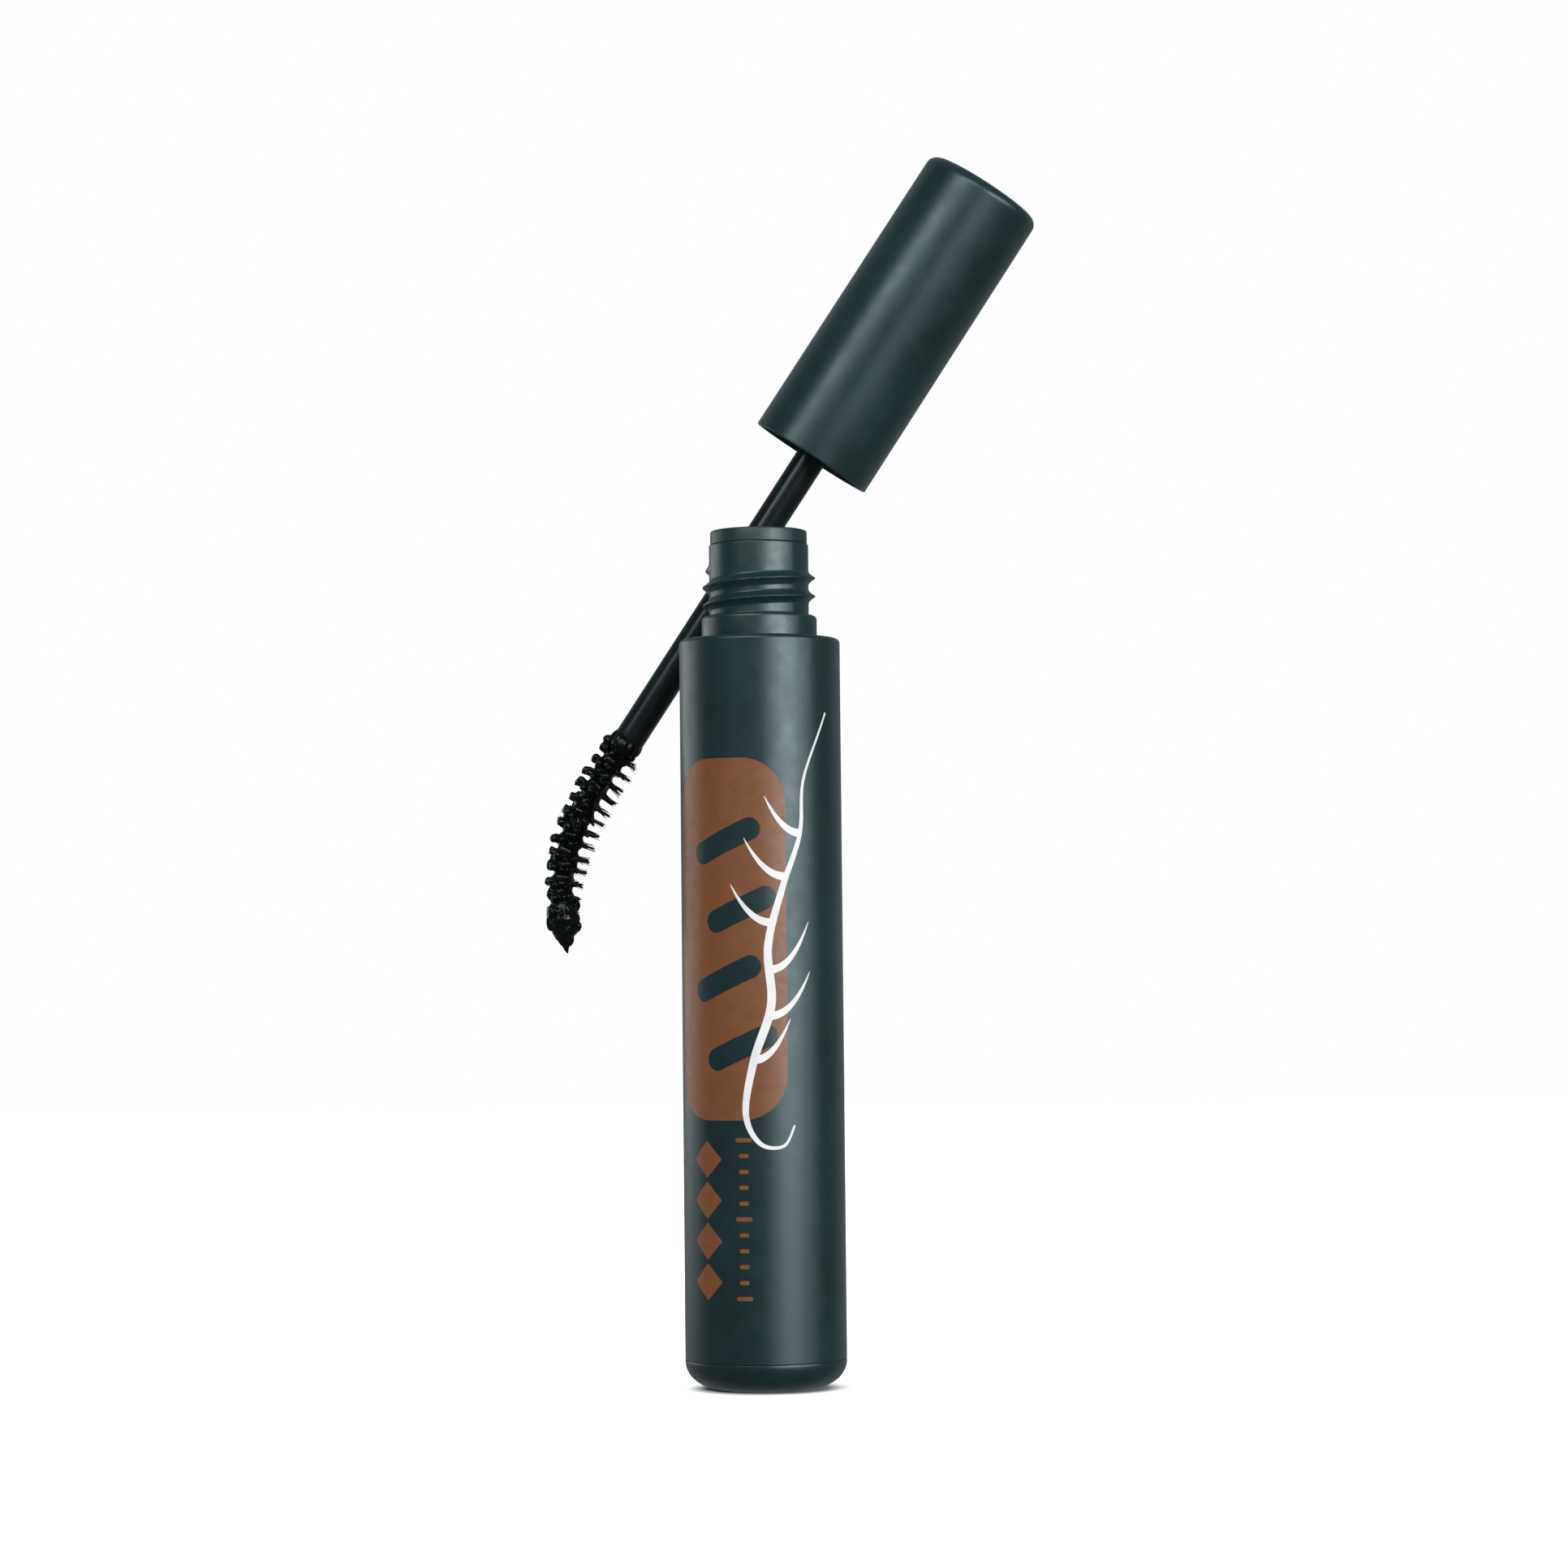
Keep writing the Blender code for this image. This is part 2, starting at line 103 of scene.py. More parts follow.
class Recipe:
    """A material under construction, with short names for the nodes it needs."""

    def __init__(self, name: str) -> None:
        """Start a Principled material.

        Args:
            name: The material's name.
        """
        self.material = bpy.data.materials.new(name)
        self.material.use_nodes = True
        self.tree = self.material.node_tree
        self.shader = self.tree.nodes["Principled BSDF"]
        self.place = self.tree.nodes.new("ShaderNodeTexCoord")

    def set(self, **values: float | tuple) -> None:
        """Set the shader's own sockets by name, with underscores for spaces."""
        for key, value in values.items():
            self.shader.inputs[key.replace("_", " ")].default_value = value

    def stretched(self, scale: Triple, turn: Triple = (0.0, 0.0, 0.0)) -> Socket:
        """Give Object coordinates scaled by axis, for grain that runs one way.

        Args:
            scale: The factor along each axis.
            turn: Euler angles that bring the grain's own axis upright first.

        Returns:
            The socket that holds the coordinates.
        """
        node = self.tree.nodes.new("ShaderNodeMapping")
        node.inputs["Scale"].default_value = scale
        node.inputs["Rotation"].default_value = turn
        self.tree.links.new(self.place.outputs["Object"], node.inputs["Vector"])
        return node.outputs["Vector"]

    def noise(self, size: float, detail: float = 2.0, vector: Socket | None = None) -> Socket:
        """Add cloudy noise on Object coordinates.

        Args:
            size: The spacing of its features, in millimetres.
            detail: How many finer layers it holds.
            vector: Other coordinates to read.

        Returns:
            The noise's value socket.
        """
        node = self.tree.nodes.new("ShaderNodeTexNoise")
        node.inputs["Scale"].default_value = 1.0 / (size * MM)
        node.inputs["Detail"].default_value = detail
        self.tree.links.new(vector or self.place.outputs["Object"], node.inputs["Vector"])
        return node.outputs["Fac"]

    def spread(self, value: Socket, low: float, high: float) -> Socket:
        """Map the middle readings of a noise, which are most of it, onto a range.

        Args:
            value: The noise's socket.
            low: What a low reading becomes.
            high: What a high reading becomes.

        Returns:
            The mapped value's socket.
        """
        node = self.tree.nodes.new("ShaderNodeMapRange")
        node.inputs["From Min"].default_value = 0.3
        node.inputs["From Max"].default_value = 0.7
        node.inputs["To Min"].default_value = low
        node.inputs["To Max"].default_value = high
        self.tree.links.new(value, node.inputs["Value"])
        return node.outputs["Result"]

    def tint(self, value: Socket, first: Colour, second: Colour) -> None:
        """Colour the surface from one colour to another by a value socket.

        Args:
            value: The socket to read.
            first: The colour where it is low.
            second: The colour where it is high.
        """
        node = self.tree.nodes.new("ShaderNodeMix")
        node.data_type = "RGBA"
        node.inputs["A"].default_value = (*first, 1.0)
        node.inputs["B"].default_value = (*second, 1.0)
        self.tree.links.new(self.spread(value, 0.0, 1.0), node.inputs["Factor"])
        self.feed("Base Color", node.outputs["Result"])

    def bump(self, value: Socket, height: float, strength: float, under: Socket | None = None) -> Socket:
        """Add a bump from a value socket.

        Args:
            value: The height's socket.
            height: The relief in millimetres.
            strength: How much of it shows, from 0 to 1.
            under: A normal socket to build on.

        Returns:
            The normal's socket.
        """
        node = self.tree.nodes.new("ShaderNodeBump")
        node.inputs["Distance"].default_value = height * MM
        node.inputs["Strength"].default_value = strength
        self.tree.links.new(value, node.inputs["Height"])
        if under is not None:
            self.tree.links.new(under, node.inputs["Normal"])
        return node.outputs["Normal"]

    def feed(self, key: str, socket: Socket) -> None:
        """Link a socket to one of the shader's inputs."""
        self.tree.links.new(socket, self.shader.inputs[key])


def scaled(colour: Colour, factor: float) -> Colour:
    """Give a colour made lighter or darker."""
    return colour[0] * factor, colour[1] * factor, colour[2] * factor


@dataclass(frozen=True)
class SoftTouch:
    """Velvety lacquer: a fine grain on a slow wave, with a faint mottle and rubbed patches."""

    name: str
    colour: Colour = (0.0033, 0.0098, 0.0110)
    roughness: float = 0.34
    mottle: float = 9.0  # spacings, in millimetres
    rubbed: float = 2.2
    wave: float = 3.5
    grain: float = 0.09

    def make(self) -> Material:
        """Build the material."""
        recipe = Recipe(self.name)
        darker, lighter = scaled(self.colour, 0.84), scaled(self.colour, 1.22)
        recipe.tint(recipe.noise(self.mottle, 3.0), darker, lighter)
        rubbed = recipe.noise(self.rubbed, 4.0)
        recipe.feed("Roughness", recipe.spread(rubbed, self.roughness - 0.035, self.roughness + 0.045))
        grain = recipe.noise(self.grain, 1.0)
        soft = recipe.bump(recipe.noise(self.wave, 1.0), 0.01, 0.1)
        recipe.feed("Normal", recipe.bump(grain, 0.004, 0.35, soft))
        recipe.set(IOR=1.45, Specular_Tint=(0.78, 0.95, 1.0, 1.0), Sheen_Weight=0.03, Sheen_Roughness=0.4)
        return recipe.material


@dataclass(frozen=True)
class Moulded:
    """Injection-moulded plastic with a faint flow mottle and a fine skin."""

    name: str
    colour: Colour
    roughness: float = 0.3
    grain: float = 0.16

    def make(self) -> Material:
        """Build the material."""
        recipe = Recipe(self.name)
        flow = recipe.noise(4.0, 3.0, recipe.stretched((1.0, 1.0, 0.35)))
        recipe.tint(flow, self.colour, scaled(self.colour, 1.25))
        skin = recipe.spread(recipe.noise(1.3, 3.0), self.roughness - 0.05, self.roughness + 0.06)
        recipe.feed("Roughness", skin)
        recipe.feed("Normal", recipe.bump(recipe.noise(self.grain, 1.0), 0.002, 0.25))
        recipe.set(Specular_Tint=(0.86, 0.98, 1.0, 1.0))
        return recipe.material


@dataclass(frozen=True)
class Polished:
    """Glossy black plastic, with handling haze and thin smears of paste."""

    name: str
    colour: Colour = (0.0028, 0.0044, 0.0046)
    hazy: Colour = (0.0036, 0.0060, 0.0062)
    lean: float = 33.5  # degrees that the smears lean with the stem

    def make(self) -> Material:
        """Build the material."""
        recipe = Recipe(self.name)
        recipe.tint(recipe.noise(2.6, 4.0), self.colour, self.hazy)
        along = recipe.stretched((1.0, 1.0, 0.2), (0.0, math.radians(self.lean), 0.0))
        recipe.feed("Roughness", recipe.spread(recipe.noise(1.6, 3.0, along), 0.22, 0.30))
        recipe.feed("Normal", recipe.bump(recipe.noise(6.0, 1.0), 0.01, 0.2))
        recipe.set(IOR=1.40, Specular_Tint=(0.62, 0.74, 0.77, 1.0))
        return recipe.material


@dataclass(frozen=True)
class WetPaste:
    """Thick wet mascara: near black, lumpy, with sharp small glints."""

    name: str
    colour: Colour = (0.0008, 0.0011, 0.0012)
    thin: Colour = (0.0020, 0.0030, 0.0032)

    def make(self) -> Material:
        """Build the material."""
        recipe = Recipe(self.name)
        recipe.tint(recipe.noise(1.1, 3.0), self.colour, self.thin)
        recipe.feed("Roughness", recipe.spread(recipe.noise(1.4, 2.0), 0.16, 0.36))
        recipe.feed("Normal", recipe.bump(recipe.noise(0.8, 1.0), 0.02, 0.25))
        recipe.set(IOR=1.38, Specular_Tint=(0.62, 0.72, 0.74, 1.0))
        return recipe.material


@dataclass(frozen=True)
class Foam:
    """Closed-cell foam with a pitted face."""

    name: str
    colour: Colour = (0.62, 0.61, 0.57)

    def make(self) -> Material:
        """Build the material."""
        recipe = Recipe(self.name)
        cells = recipe.tree.nodes.new("ShaderNodeTexVoronoi")
        cells.inputs["Scale"].default_value = 1.0 / (0.22 * MM)
        recipe.tree.links.new(recipe.place.outputs["Object"], cells.inputs["Vector"])
        recipe.tint(recipe.noise(1.5), scaled(self.colour, 0.72), self.colour)
        recipe.feed("Normal", recipe.bump(cells.outputs["Distance"], 0.05, 0.6))
        recipe.set(Roughness=0.85)
        return recipe.material


@dataclass(frozen=True)
class TwistedSteel:
    """Drawn steel wire with long fine scratches."""

    name: str
    colour: Colour = (0.50, 0.50, 0.51)

    def make(self) -> Material:
        """Build the material."""
        recipe = Recipe(self.name)
        drawn = recipe.noise(0.12, 2.0, recipe.stretched((1.0, 1.0, 0.1)))
        recipe.tint(drawn, scaled(self.colour, 0.6), self.colour)
        recipe.feed("Roughness", recipe.spread(drawn, 0.22, 0.42))
        recipe.set(Metallic=1.0)
        return recipe.material


@dataclass(frozen=True)
class Ink:
    """A printed film, slightly uneven, that lets the lacquer's grain through."""

    name: str
    colour: Colour
    shade: Colour
    roughness: float

    def make(self) -> Material:
        """Build the material."""
        recipe = Recipe(self.name)
        recipe.tint(recipe.noise(1.6, 4.0), self.shade, self.colour)
        rough = recipe.spread(recipe.noise(0.7, 3.0), self.roughness - 0.05, self.roughness + 0.06)
        recipe.feed("Roughness", rough)
        recipe.feed("Normal", recipe.bump(recipe.noise(0.1, 1.0), 0.004, 0.4))
        recipe.set(IOR=1.42)
        return recipe.material


@dataclass(frozen=True)
class Paper:
    """The pale matt surface that the tube stands on."""

    name: str
    colour: Colour = (0.77, 0.77, 0.77)

    def make(self) -> Material:
        """Build the material."""
        recipe = Recipe(self.name)
        recipe.tint(recipe.noise(40.0), scaled(self.colour, 0.985), self.colour)
        recipe.set(Roughness=0.9, Specular_IOR_Level=0.1)
        return recipe.material


# ---------------------------------------------------------------- modelling by hand


def deselect_all() -> None:
    """Leave object mode with nothing selected."""
    if bpy.context.object and bpy.context.object.mode != "OBJECT":
        bpy.ops.object.mode_set(mode="OBJECT")
    bpy.ops.object.select_all(action="DESELECT")


def make_active(piece: Piece) -> None:
    """Select one object alone and make it active.

    Args:
        piece: The object.
    """
    deselect_all()
    piece.select_set(True)
    bpy.context.view_layer.objects.active = piece


def added(operator: Callable[..., object], **settings: object) -> Piece:
    """Add a primitive by its operator, with its placing applied.

    Args:
        operator: The operator that adds it.
        settings: What the operator takes.

    Returns:
        The new object.
    """
    deselect_all()
    operator(**settings)
    bpy.ops.object.transform_apply()
    return bpy.context.object


@contextmanager
def editing(piece: Piece) -> Iterator[None]:
    """Work in edit mode on all of one piece.

    Args:
        piece: The piece, in object mode.

    Yields:
        Nothing. The work is what stands in the with block.
    """
    make_active(piece)
    bpy.ops.object.mode_set(mode="EDIT")
    bpy.ops.mesh.select_all(action="SELECT")
    yield
    bpy.ops.object.mode_set(mode="OBJECT")


def slice_at(point: Triple, across: Triple) -> None:
    """Cut everything in edit mode by a plane, and keep both sides."""
    bpy.ops.mesh.select_all(action="SELECT")
    bpy.ops.mesh.bisect(plane_co=point, plane_no=across)


def spoke(angle: float) -> Vector:
    """Give the level unit vector at an angle from +X, in radians."""
    return Vector((math.cos(angle), math.sin(angle), 0.0))


def apply_modifier(piece: Piece, kind: str, **settings: object) -> None:
    """Add a modifier, set it and apply it.

    Args:
        piece: The object it works on.
        kind: The modifier's type.
        settings: Its properties and their values.
    """
    make_active(piece)
    modifier = piece.modifiers.new(kind.title(), kind)
    for key, value in settings.items():
        setattr(modifier, key, value)
    bpy.ops.object.modifier_apply(modifier=modifier.name)


def shade(piece: Piece, degrees: float) -> None:
    """Shade smooth, with edges sharper than an angle left crisp."""
    make_active(piece)
    bpy.ops.object.shade_smooth_by_angle(angle=math.radians(degrees))


def face_outwards(piece: Piece) -> None:
    """Merge doubles and turn every face of a closed shell outwards.

    Args:
        piece: The closed shell.
    """
    with editing(piece):
        bpy.ops.mesh.remove_doubles(threshold=0.0008 * MM)
        bpy.ops.mesh.normals_make_consistent(inside=False)


def settle(piece: Piece, matrix: Matrix) -> None:
    """Carry a piece to its place and apply the move to its mesh.

    Args:
        piece: The piece to carry.
        matrix: The move, in metres.
    """
    piece.matrix_world = matrix @ piece.matrix_world
    make_active(piece)
    bpy.ops.object.transform_apply()


def join(pieces: Sequence[Piece], name: str) -> Piece:
    """Join objects into one and name it.

    Args:
        pieces: The objects.
        name: The name of the whole.

    Returns:
        The joined object.
    """
    deselect_all()
    for piece in pieces:
        piece.select_set(True)
    bpy.context.view_layer.objects.active = pieces[0]
    bpy.ops.object.join()
    joined = bpy.context.object
    joined.name = joined.data.name = name
    return joined


def gathered(gather: Gather, name: str) -> Piece:
    """Turn a gathered mesh into an object, with its faces outwards.

    Args:
        gather: The gathered mesh, which is freed.
        name: The object's name.

    Returns:
        The object.
    """
    bmesh.ops.recalc_face_normals(gather, faces=gather.faces)
    mesh = bpy.data.meshes.new(name)
    gather.to_mesh(mesh)
    gather.free()
    piece = bpy.data.objects.new(name, mesh)
    bpy.context.scene.collection.objects.link(piece)
    return piece


def dress(piece: Piece, material: Material) -> None:
    """Give a piece one material on all its faces."""
    piece.data.materials.clear()
    piece.data.materials.append(material)


def adopt(piece: Piece, body: Body, nodes: Iterable[str] = ()) -> None:
    """Hand a finished piece to the frame.

    Args:
        piece: The finished piece.
        body: The body that it rides on.
        nodes: The CAD nodes that it stands for.
    """
    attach(piece, body.value)
    replaced = list(nodes)
    if replaced:
        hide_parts(*replaced)
    LOG.info("%s rides on %s, %d faces", piece.name, body.value, len(piece.data.polygons))


def round_corner(
    centre: Point, radius: float, first: float, last: float, steps: int, rise: float | None = None
) -> list[Point]:
    """Give the points of an arc in the (r, z) plane.

    Args:
        centre: The arc's centre.
        radius: Its radius.
        first: The angle it starts at, in degrees.
        last: The angle it ends at.
        steps: How many chords it has.
        rise: Its height, where the arc belongs to an ellipse.

    Returns:
        The points, first to last.
    """
    angles = [math.radians(first + (last - first) * i / steps) for i in range(steps + 1)]
    tall = radius if rise is None else rise
    return [(centre[0] + radius * math.cos(a), centre[1] + tall * math.sin(a)) for a in angles]


def straight(radius: float, first: float, last: float, pitch: float) -> list[Point]:
    """Give evenly spaced points along a wall of one radius."""
    count = max(1, round(abs(last - first) / pitch))
    return [(radius, first + (last - first) * i / count) for i in range(count + 1)]


@dataclass
class Turning:
    """A round piece drawn out of one disc by extruding its face and scaling it."""

    name: str
    sides: int = 144
    radius: float = 0.0
    height: float = 0.0
    piece: Piece | None = None

    def begin(self, point: Point) -> None:
        """Add the first disc and select its face in edit mode.

        Args:
            point: The outline's first radius and height.
        """
        self.radius, self.height = point
        self.piece = added(
            bpy.ops.mesh.primitive_circle_add, vertices=self.sides, radius=self.radius * MM,
            fill_type="NGON", location=(0, 0, self.height * MM),
        )
        self.piece.name = self.piece.data.name = self.name
        bpy.ops.object.mode_set(mode="EDIT")
        bpy.ops.mesh.select_all(action="SELECT")

    def draw_to(self, point: Point) -> None:
        """Extrude the selected face to the next point of the outline.

        Args:
            point: The radius and height to reach.
        """
        radius, height = point
        if abs(radius - self.radius) < 1e-6 and abs(height - self.height) < 1e-6:
            return
        rise = (height - self.height) * MM
        bpy.ops.mesh.extrude_region_move(TRANSFORM_OT_translate={"value": (0, 0, rise)})
        factor = radius / self.radius
        if abs(factor - 1.0) > 1e-9:
            bpy.ops.transform.resize(value=(factor, factor, 1.0), center_override=(0, 0, height * MM))
        self.radius, self.height = radius, height

    def finish(self, closed: bool) -> Piece:
        """Close the shell.

        Args:
            closed: Whether the outline is a loop, so that both end faces go.

        Returns:
            The piece, in object mode, faces outwards and shaded.
        """
        if closed:
            bpy.ops.mesh.delete(type="FACE")
        bpy.ops.object.mode_set(mode="OBJECT")
        if closed:
            mesh = bmesh.new()
            mesh.from_mesh(self.piece.data)
            ends = [face for face in mesh.faces if len(face.verts) > 4]
            bmesh.ops.delete(mesh, geom=ends, context="FACES_ONLY")
            mesh.to_mesh(self.piece.data)
            mesh.free()
        face_outwards(self.piece)
        shade(self.piece, 32.0)
        return self.piece

    def turn(self, outline: Sequence[Point]) -> Piece:
        """Draw a whole outline.

        Args:
            outline: Its (r, z) points. It is a loop unless both ends lie next to the axis.

        Returns:
            The finished piece.
        """
        closed = not (outline[0][0] < 0.1 and outline[-1][0] < 0.1)
        self.begin(outline[0])
        for point in [*outline[1:], *([outline[0]] if closed else [])]:
            self.draw_to(point)
        return self.finish(closed)


@dataclass(frozen=True)
class Thread:
    """A right-hand screw thread raised out of, or cut into, a round wall."""

    wall: float
    depth: float
    zero: float  # height of the ridge's middle on the +X side
    start: float  # degrees along the helix
    end: float
    pitch: float = 25.4 / 12
    root_half: float = 0.80
    crest_half: float = 0.07
    fade: float = 45.0
    hollow: float = 1.6  # above 1 the flanks are concave

    def height_at(self, x: float, y: float, z: float) -> float:
        """Give how much of the ridge stands over a point, from 0 to 1.

        Args:
            x: The point's place on X, in millimetres.
            y: Its place on Y.
            z: Its height.

        Returns:
            0 away from the ridge, and 1 on its crest.
        """
        around = math.degrees(math.atan2(y, x))
        best = 0.0
        for turn in range(-3, 5):
            along = around + 360.0 * turn
            if not self.start <= along <= self.end:
                continue
            offset = abs(z - self.zero - self.pitch * along / 360.0)
            flank = min(max((self.root_half - offset) / (self.root_half - self.crest_half), 0.0), 1.0)
            eased = flank ** self.hollow
            ends = min((along - self.start) / self.fade, (self.end - along) / self.fade, 1.0)
            best = max(best, eased * math.sin(ends * math.pi / 2.0))
        return best

    def raise_on(self, piece: Piece, low: float, high: float) -> None:
        """Push the ridge out of a piece's wall between two heights.

        Args:
            piece: The turned piece.
            low: The height it starts at, in millimetres.
            high: The height it ends at.
        """
        for vertex in piece.data.vertices:
            x, y, z = vertex.co / MM
            radius = math.hypot(x, y)
            if abs(radius - self.wall) > 0.01 or not low < z < high:
                continue
            grown = (radius + self.depth * self.height_at(x, y, z)) / radius
            vertex.co.x *= grown
            vertex.co.y *= grown


def add_parting_line(piece: Piece, angles: Sequence[float], inner: float, low: float, high: float) -> None:
    """Raise the fine line that a split mould leaves down a piece's outer wall.

    Args:
        piece: The moulded piece.
        angles: Where the mould's halves meet, in degrees round the axis.
        inner: The radius below which a wall belongs to the inside, in millimetres.
        low: The height it starts at, in millimetres.
        high: The height it ends at.
    """
    half_width, proud = 1.35, 0.035  # degrees, millimetres
    for vertex in piece.data.vertices:
        x, y, z = vertex.co / MM
        radius = math.hypot(x, y)
        if radius < inner or not low < z < high:
            continue
        around = math.degrees(math.atan2(y, x))
        near = min(abs((around - angle + 180.0) % 360.0 - 180.0) for angle in angles)
        if near < half_width:
            grown = 1.0 + proud * (1.0 - near / half_width) / radius
            vertex.co.x *= grown
            vertex.co.y *= grown


# ---------------------------------------------------------------- the tube


@dataclass
class TubeBody:
    """The lacquered sleeve and its base plug."""

    radius: float = 9.27
    top: float = 85.9
    wall: float = 1.0
    shoulder_round: float = 0.5
    hole: float = 6.95
    seam: float = 3.4
    seam_gap: float = 0.07
    base_inset: float = 4.2
    base_rise: float = 3.2
    spigot: float = 8.0
    spigot_top: float = 4.6
    floor_top: float = 1.4
    ring: float = 4.65  # radius of the ring moulded under the foot
    mark: float = 0.12  # depth of that ring and of the gate's mark
    easing: float = 0.03  # tiny radius along the seam

    def sleeve(self) -> Piece:
        """Build the sleeve, open below, with its flat shoulder."""
        corner = (self.radius - self.shoulder_round, self.top - self.shoulder_round)
        inner = self.radius - self.wall
        outline = [
            (inner, self.seam),
            (self.radius - self.easing, self.seam),
            *round_corner((self.radius - self.easing, self.seam + self.easing), self.easing, -90, 0, 3),
            *straight(self.radius, self.seam + 2 * self.easing, corner[1] - 0.1, 4.0),
            *round_corner(corner, self.shoulder_round, 0, 90, 8),
            (self.hole + 0.25, self.top),
            *round_corner((self.hole + 0.15, self.top - 0.15), 0.15, 90, 180, 4),
            (self.hole, self.top - self.wall),
            (inner, self.top - self.wall),
        ]
        return Turning("tube_sleeve").turn(outline)

    def plug(self) -> Piece:
        """Build the base plug, with its spigot, a shallow moulded ring and a gate mark."""
        low = self.seam - self.seam_gap
        foot = (self.radius - self.base_inset, self.base_rise)
        outline = [
            (AXIS, self.floor_top),
            (self.spigot - 1.2, self.floor_top),
            (self.spigot - 1.0, self.floor_top + 0.2),
            (self.spigot - 1.0, self.spigot_top),
            (self.spigot - 0.2, self.spigot_top),
            (self.spigot, self.spigot_top - 0.2),
            (self.spigot, low),
            (self.radius - self.easing, low),
            *round_corner(foot, self.base_inset, 0, -90, 18, self.base_rise),
            (self.ring + 0.25, 0.0),
            *round_corner((self.ring, 0.0), self.mark, 0, 180, 4)[1:-1],
            (self.ring - 0.25, 0.0),
            (1.1, 0.0),
            (1.0, self.mark),
            (AXIS, self.mark),
        ]
        return Turning("tube_base_plug").turn(outline)

    def build(self, lacquer: Material) -> None:
        """Build both pieces and hand them to the frame.

        Args:
            lacquer: The finish of both.
        """
        for piece, node in ((self.sleeve(), "outer_sleeve"), (self.plug(), "base_plug")):
            dress(piece, lacquer)
            adopt(piece, Body.TUBE, [node])


@dataclass
class Neck:
    """The vial with its collar and threaded neck, the wiper in its mouth and the paste inside."""

    vial_radius: float = 8.0
    vial_wall: float = 1.0
    bottom: float = 4.9
    shoulder: float = 84.6
    collar: float = 6.65
    collar_top: float = 88.6
    radius: float = 5.75
    bore: float = 4.3
    top: float = 96.9
    thread_end: float = 95.4
    row: float = 0.09
    flange: float = 5.6
    wiper_top: float = 98.5
    orifice: float = 2.1
    throat: float = 3.2  # radius where the funnel begins to narrow
    fill_top: float = 66.0
    channel: float = 3.5
    parting: tuple[float, float] = (-47.0, 133.0)

    def vial(self) -> Piece:
        """Build the vial and raise its thread."""
        inside = self.vial_radius - self.vial_wall
        outline = [
            (AXIS, self.bottom),
            *round_corner((self.vial_radius - 1.2, self.bottom + 1.2), 1.2, -90, 0, 5),
            *straight(self.vial_radius, self.bottom + 4.0, self.shoulder - 2.0, 12.0),
            *round_corner((self.vial_radius - 0.6, self.shoulder - 0.6), 0.6, 0, 90, 4),
            (self.collar, self.shoulder),
            *straight(self.collar, self.shoulder + 0.9, self.collar_top - 0.55, 0.4),
            *round_corner((self.collar - 0.4, self.collar_top - 0.4), 0.4, 0, 90, 6),
            *round_corner((self.radius + 0.12, self.collar_top + 0.12), 0.12, -90, -180, 3),
            *straight(self.radius, self.collar_top + 0.2, self.thread_end, self.row),
            *straight(self.radius, self.thread_end + 0.2, self.top - 0.25, 0.4),
            *round_corner((self.radius - 0.12, self.top - 0.12), 0.12, 0, 90, 4),
            (self.bore, self.top),
            (self.bore, self.shoulder - 1.2),
            (inside, self.shoulder - 2.4),
            *round_corner((inside - 0.8, self.bottom + self.vial_wall + 0.8), 0.8, 0, -90, 4),
            (AXIS, self.bottom + self.vial_wall),
        ]
        piece = Turning("vial_and_neck", sides=180).turn(outline)
        thread = Thread(self.radius, 0.77, 90.9, -230.0, 552.0)
        thread.raise_on(piece, self.collar_top + 0.05, self.thread_end)
        add_parting_line(piece, self.parting, self.radius - 0.35, self.collar_top - 2.4, self.top + 0.1)
        shade(piece, 50.0)
        return piece

    def wiper(self) -> Piece:
        """Build the wiper: a rolled flange and a funnel that ends in a thin lip."""
        sleeve = self.bore - 0.3
        under = self.top + 0.03
        outline = [
            (self.throat, 94.2),
            (self.orifice + 0.05, 90.0),
            (self.orifice, 89.5),
            *round_corner((self.orifice + 0.17, 89.35), 0.17, 180, 330, 5),
            (sleeve - 0.2, 92.6),
            (sleeve, 93.0),
            (sleeve, 95.0),
            (sleeve + 0.12, 95.2),
            (sleeve, 95.4),
            (sleeve, under),
            (self.flange - 0.06, under),
            (self.flange, under + 0.06),
            *round_corner((self.flange - 0.22, self.wiper_top - 0.22), 0.22, 0, 90, 6),
            (3.85, self.wiper_top),
            *round_corner((3.55, self.wiper_top - 0.35), 0.35, 90, 180, 5),
            (self.throat, 97.0),
        ]
        return Turning("wiper_funnel").turn(outline)

    def smears(self) -> Piece:
        """Build the paste that the brush has left inside the funnel and at its lip."""
        rings = []
        draws = random.Random(11)
        for height, reach in ((93.4, 0.85), (91.9, 0.7), (90.5, 0.55)):
            wall = self.orifice + (self.throat - self.orifice) * max(0.0, height - 90.0) / 4.2
            ring = added(
                bpy.ops.mesh.primitive_torus_add, major_radius=(wall - 0.05) * MM, minor_radius=0.17 * MM,
                major_segments=64, minor_segments=10, location=(0, 0, height * MM),
            )
            shift = Vector((draws.uniform(0.0, 20.0), 0.0, 0.0))
            for vertex in ring.data.vertices:
                flat = Vector((vertex.co.x, vertex.co.y, 0.0))
                lean = noise.noise(flat / (1.3 * MM) + shift)
                middle = flat.normalized() * (wall - 0.1) * MM
                middle.z = height * MM
                vertex.co = middle + (vertex.co - middle) * (0.8 + 1.1 * reach * max(lean, -0.6))
            rings.append(ring)
        piece = join(rings, "paste_in_funnel")
        face_outwards(piece)
        shade(piece, 80.0)
        return piece

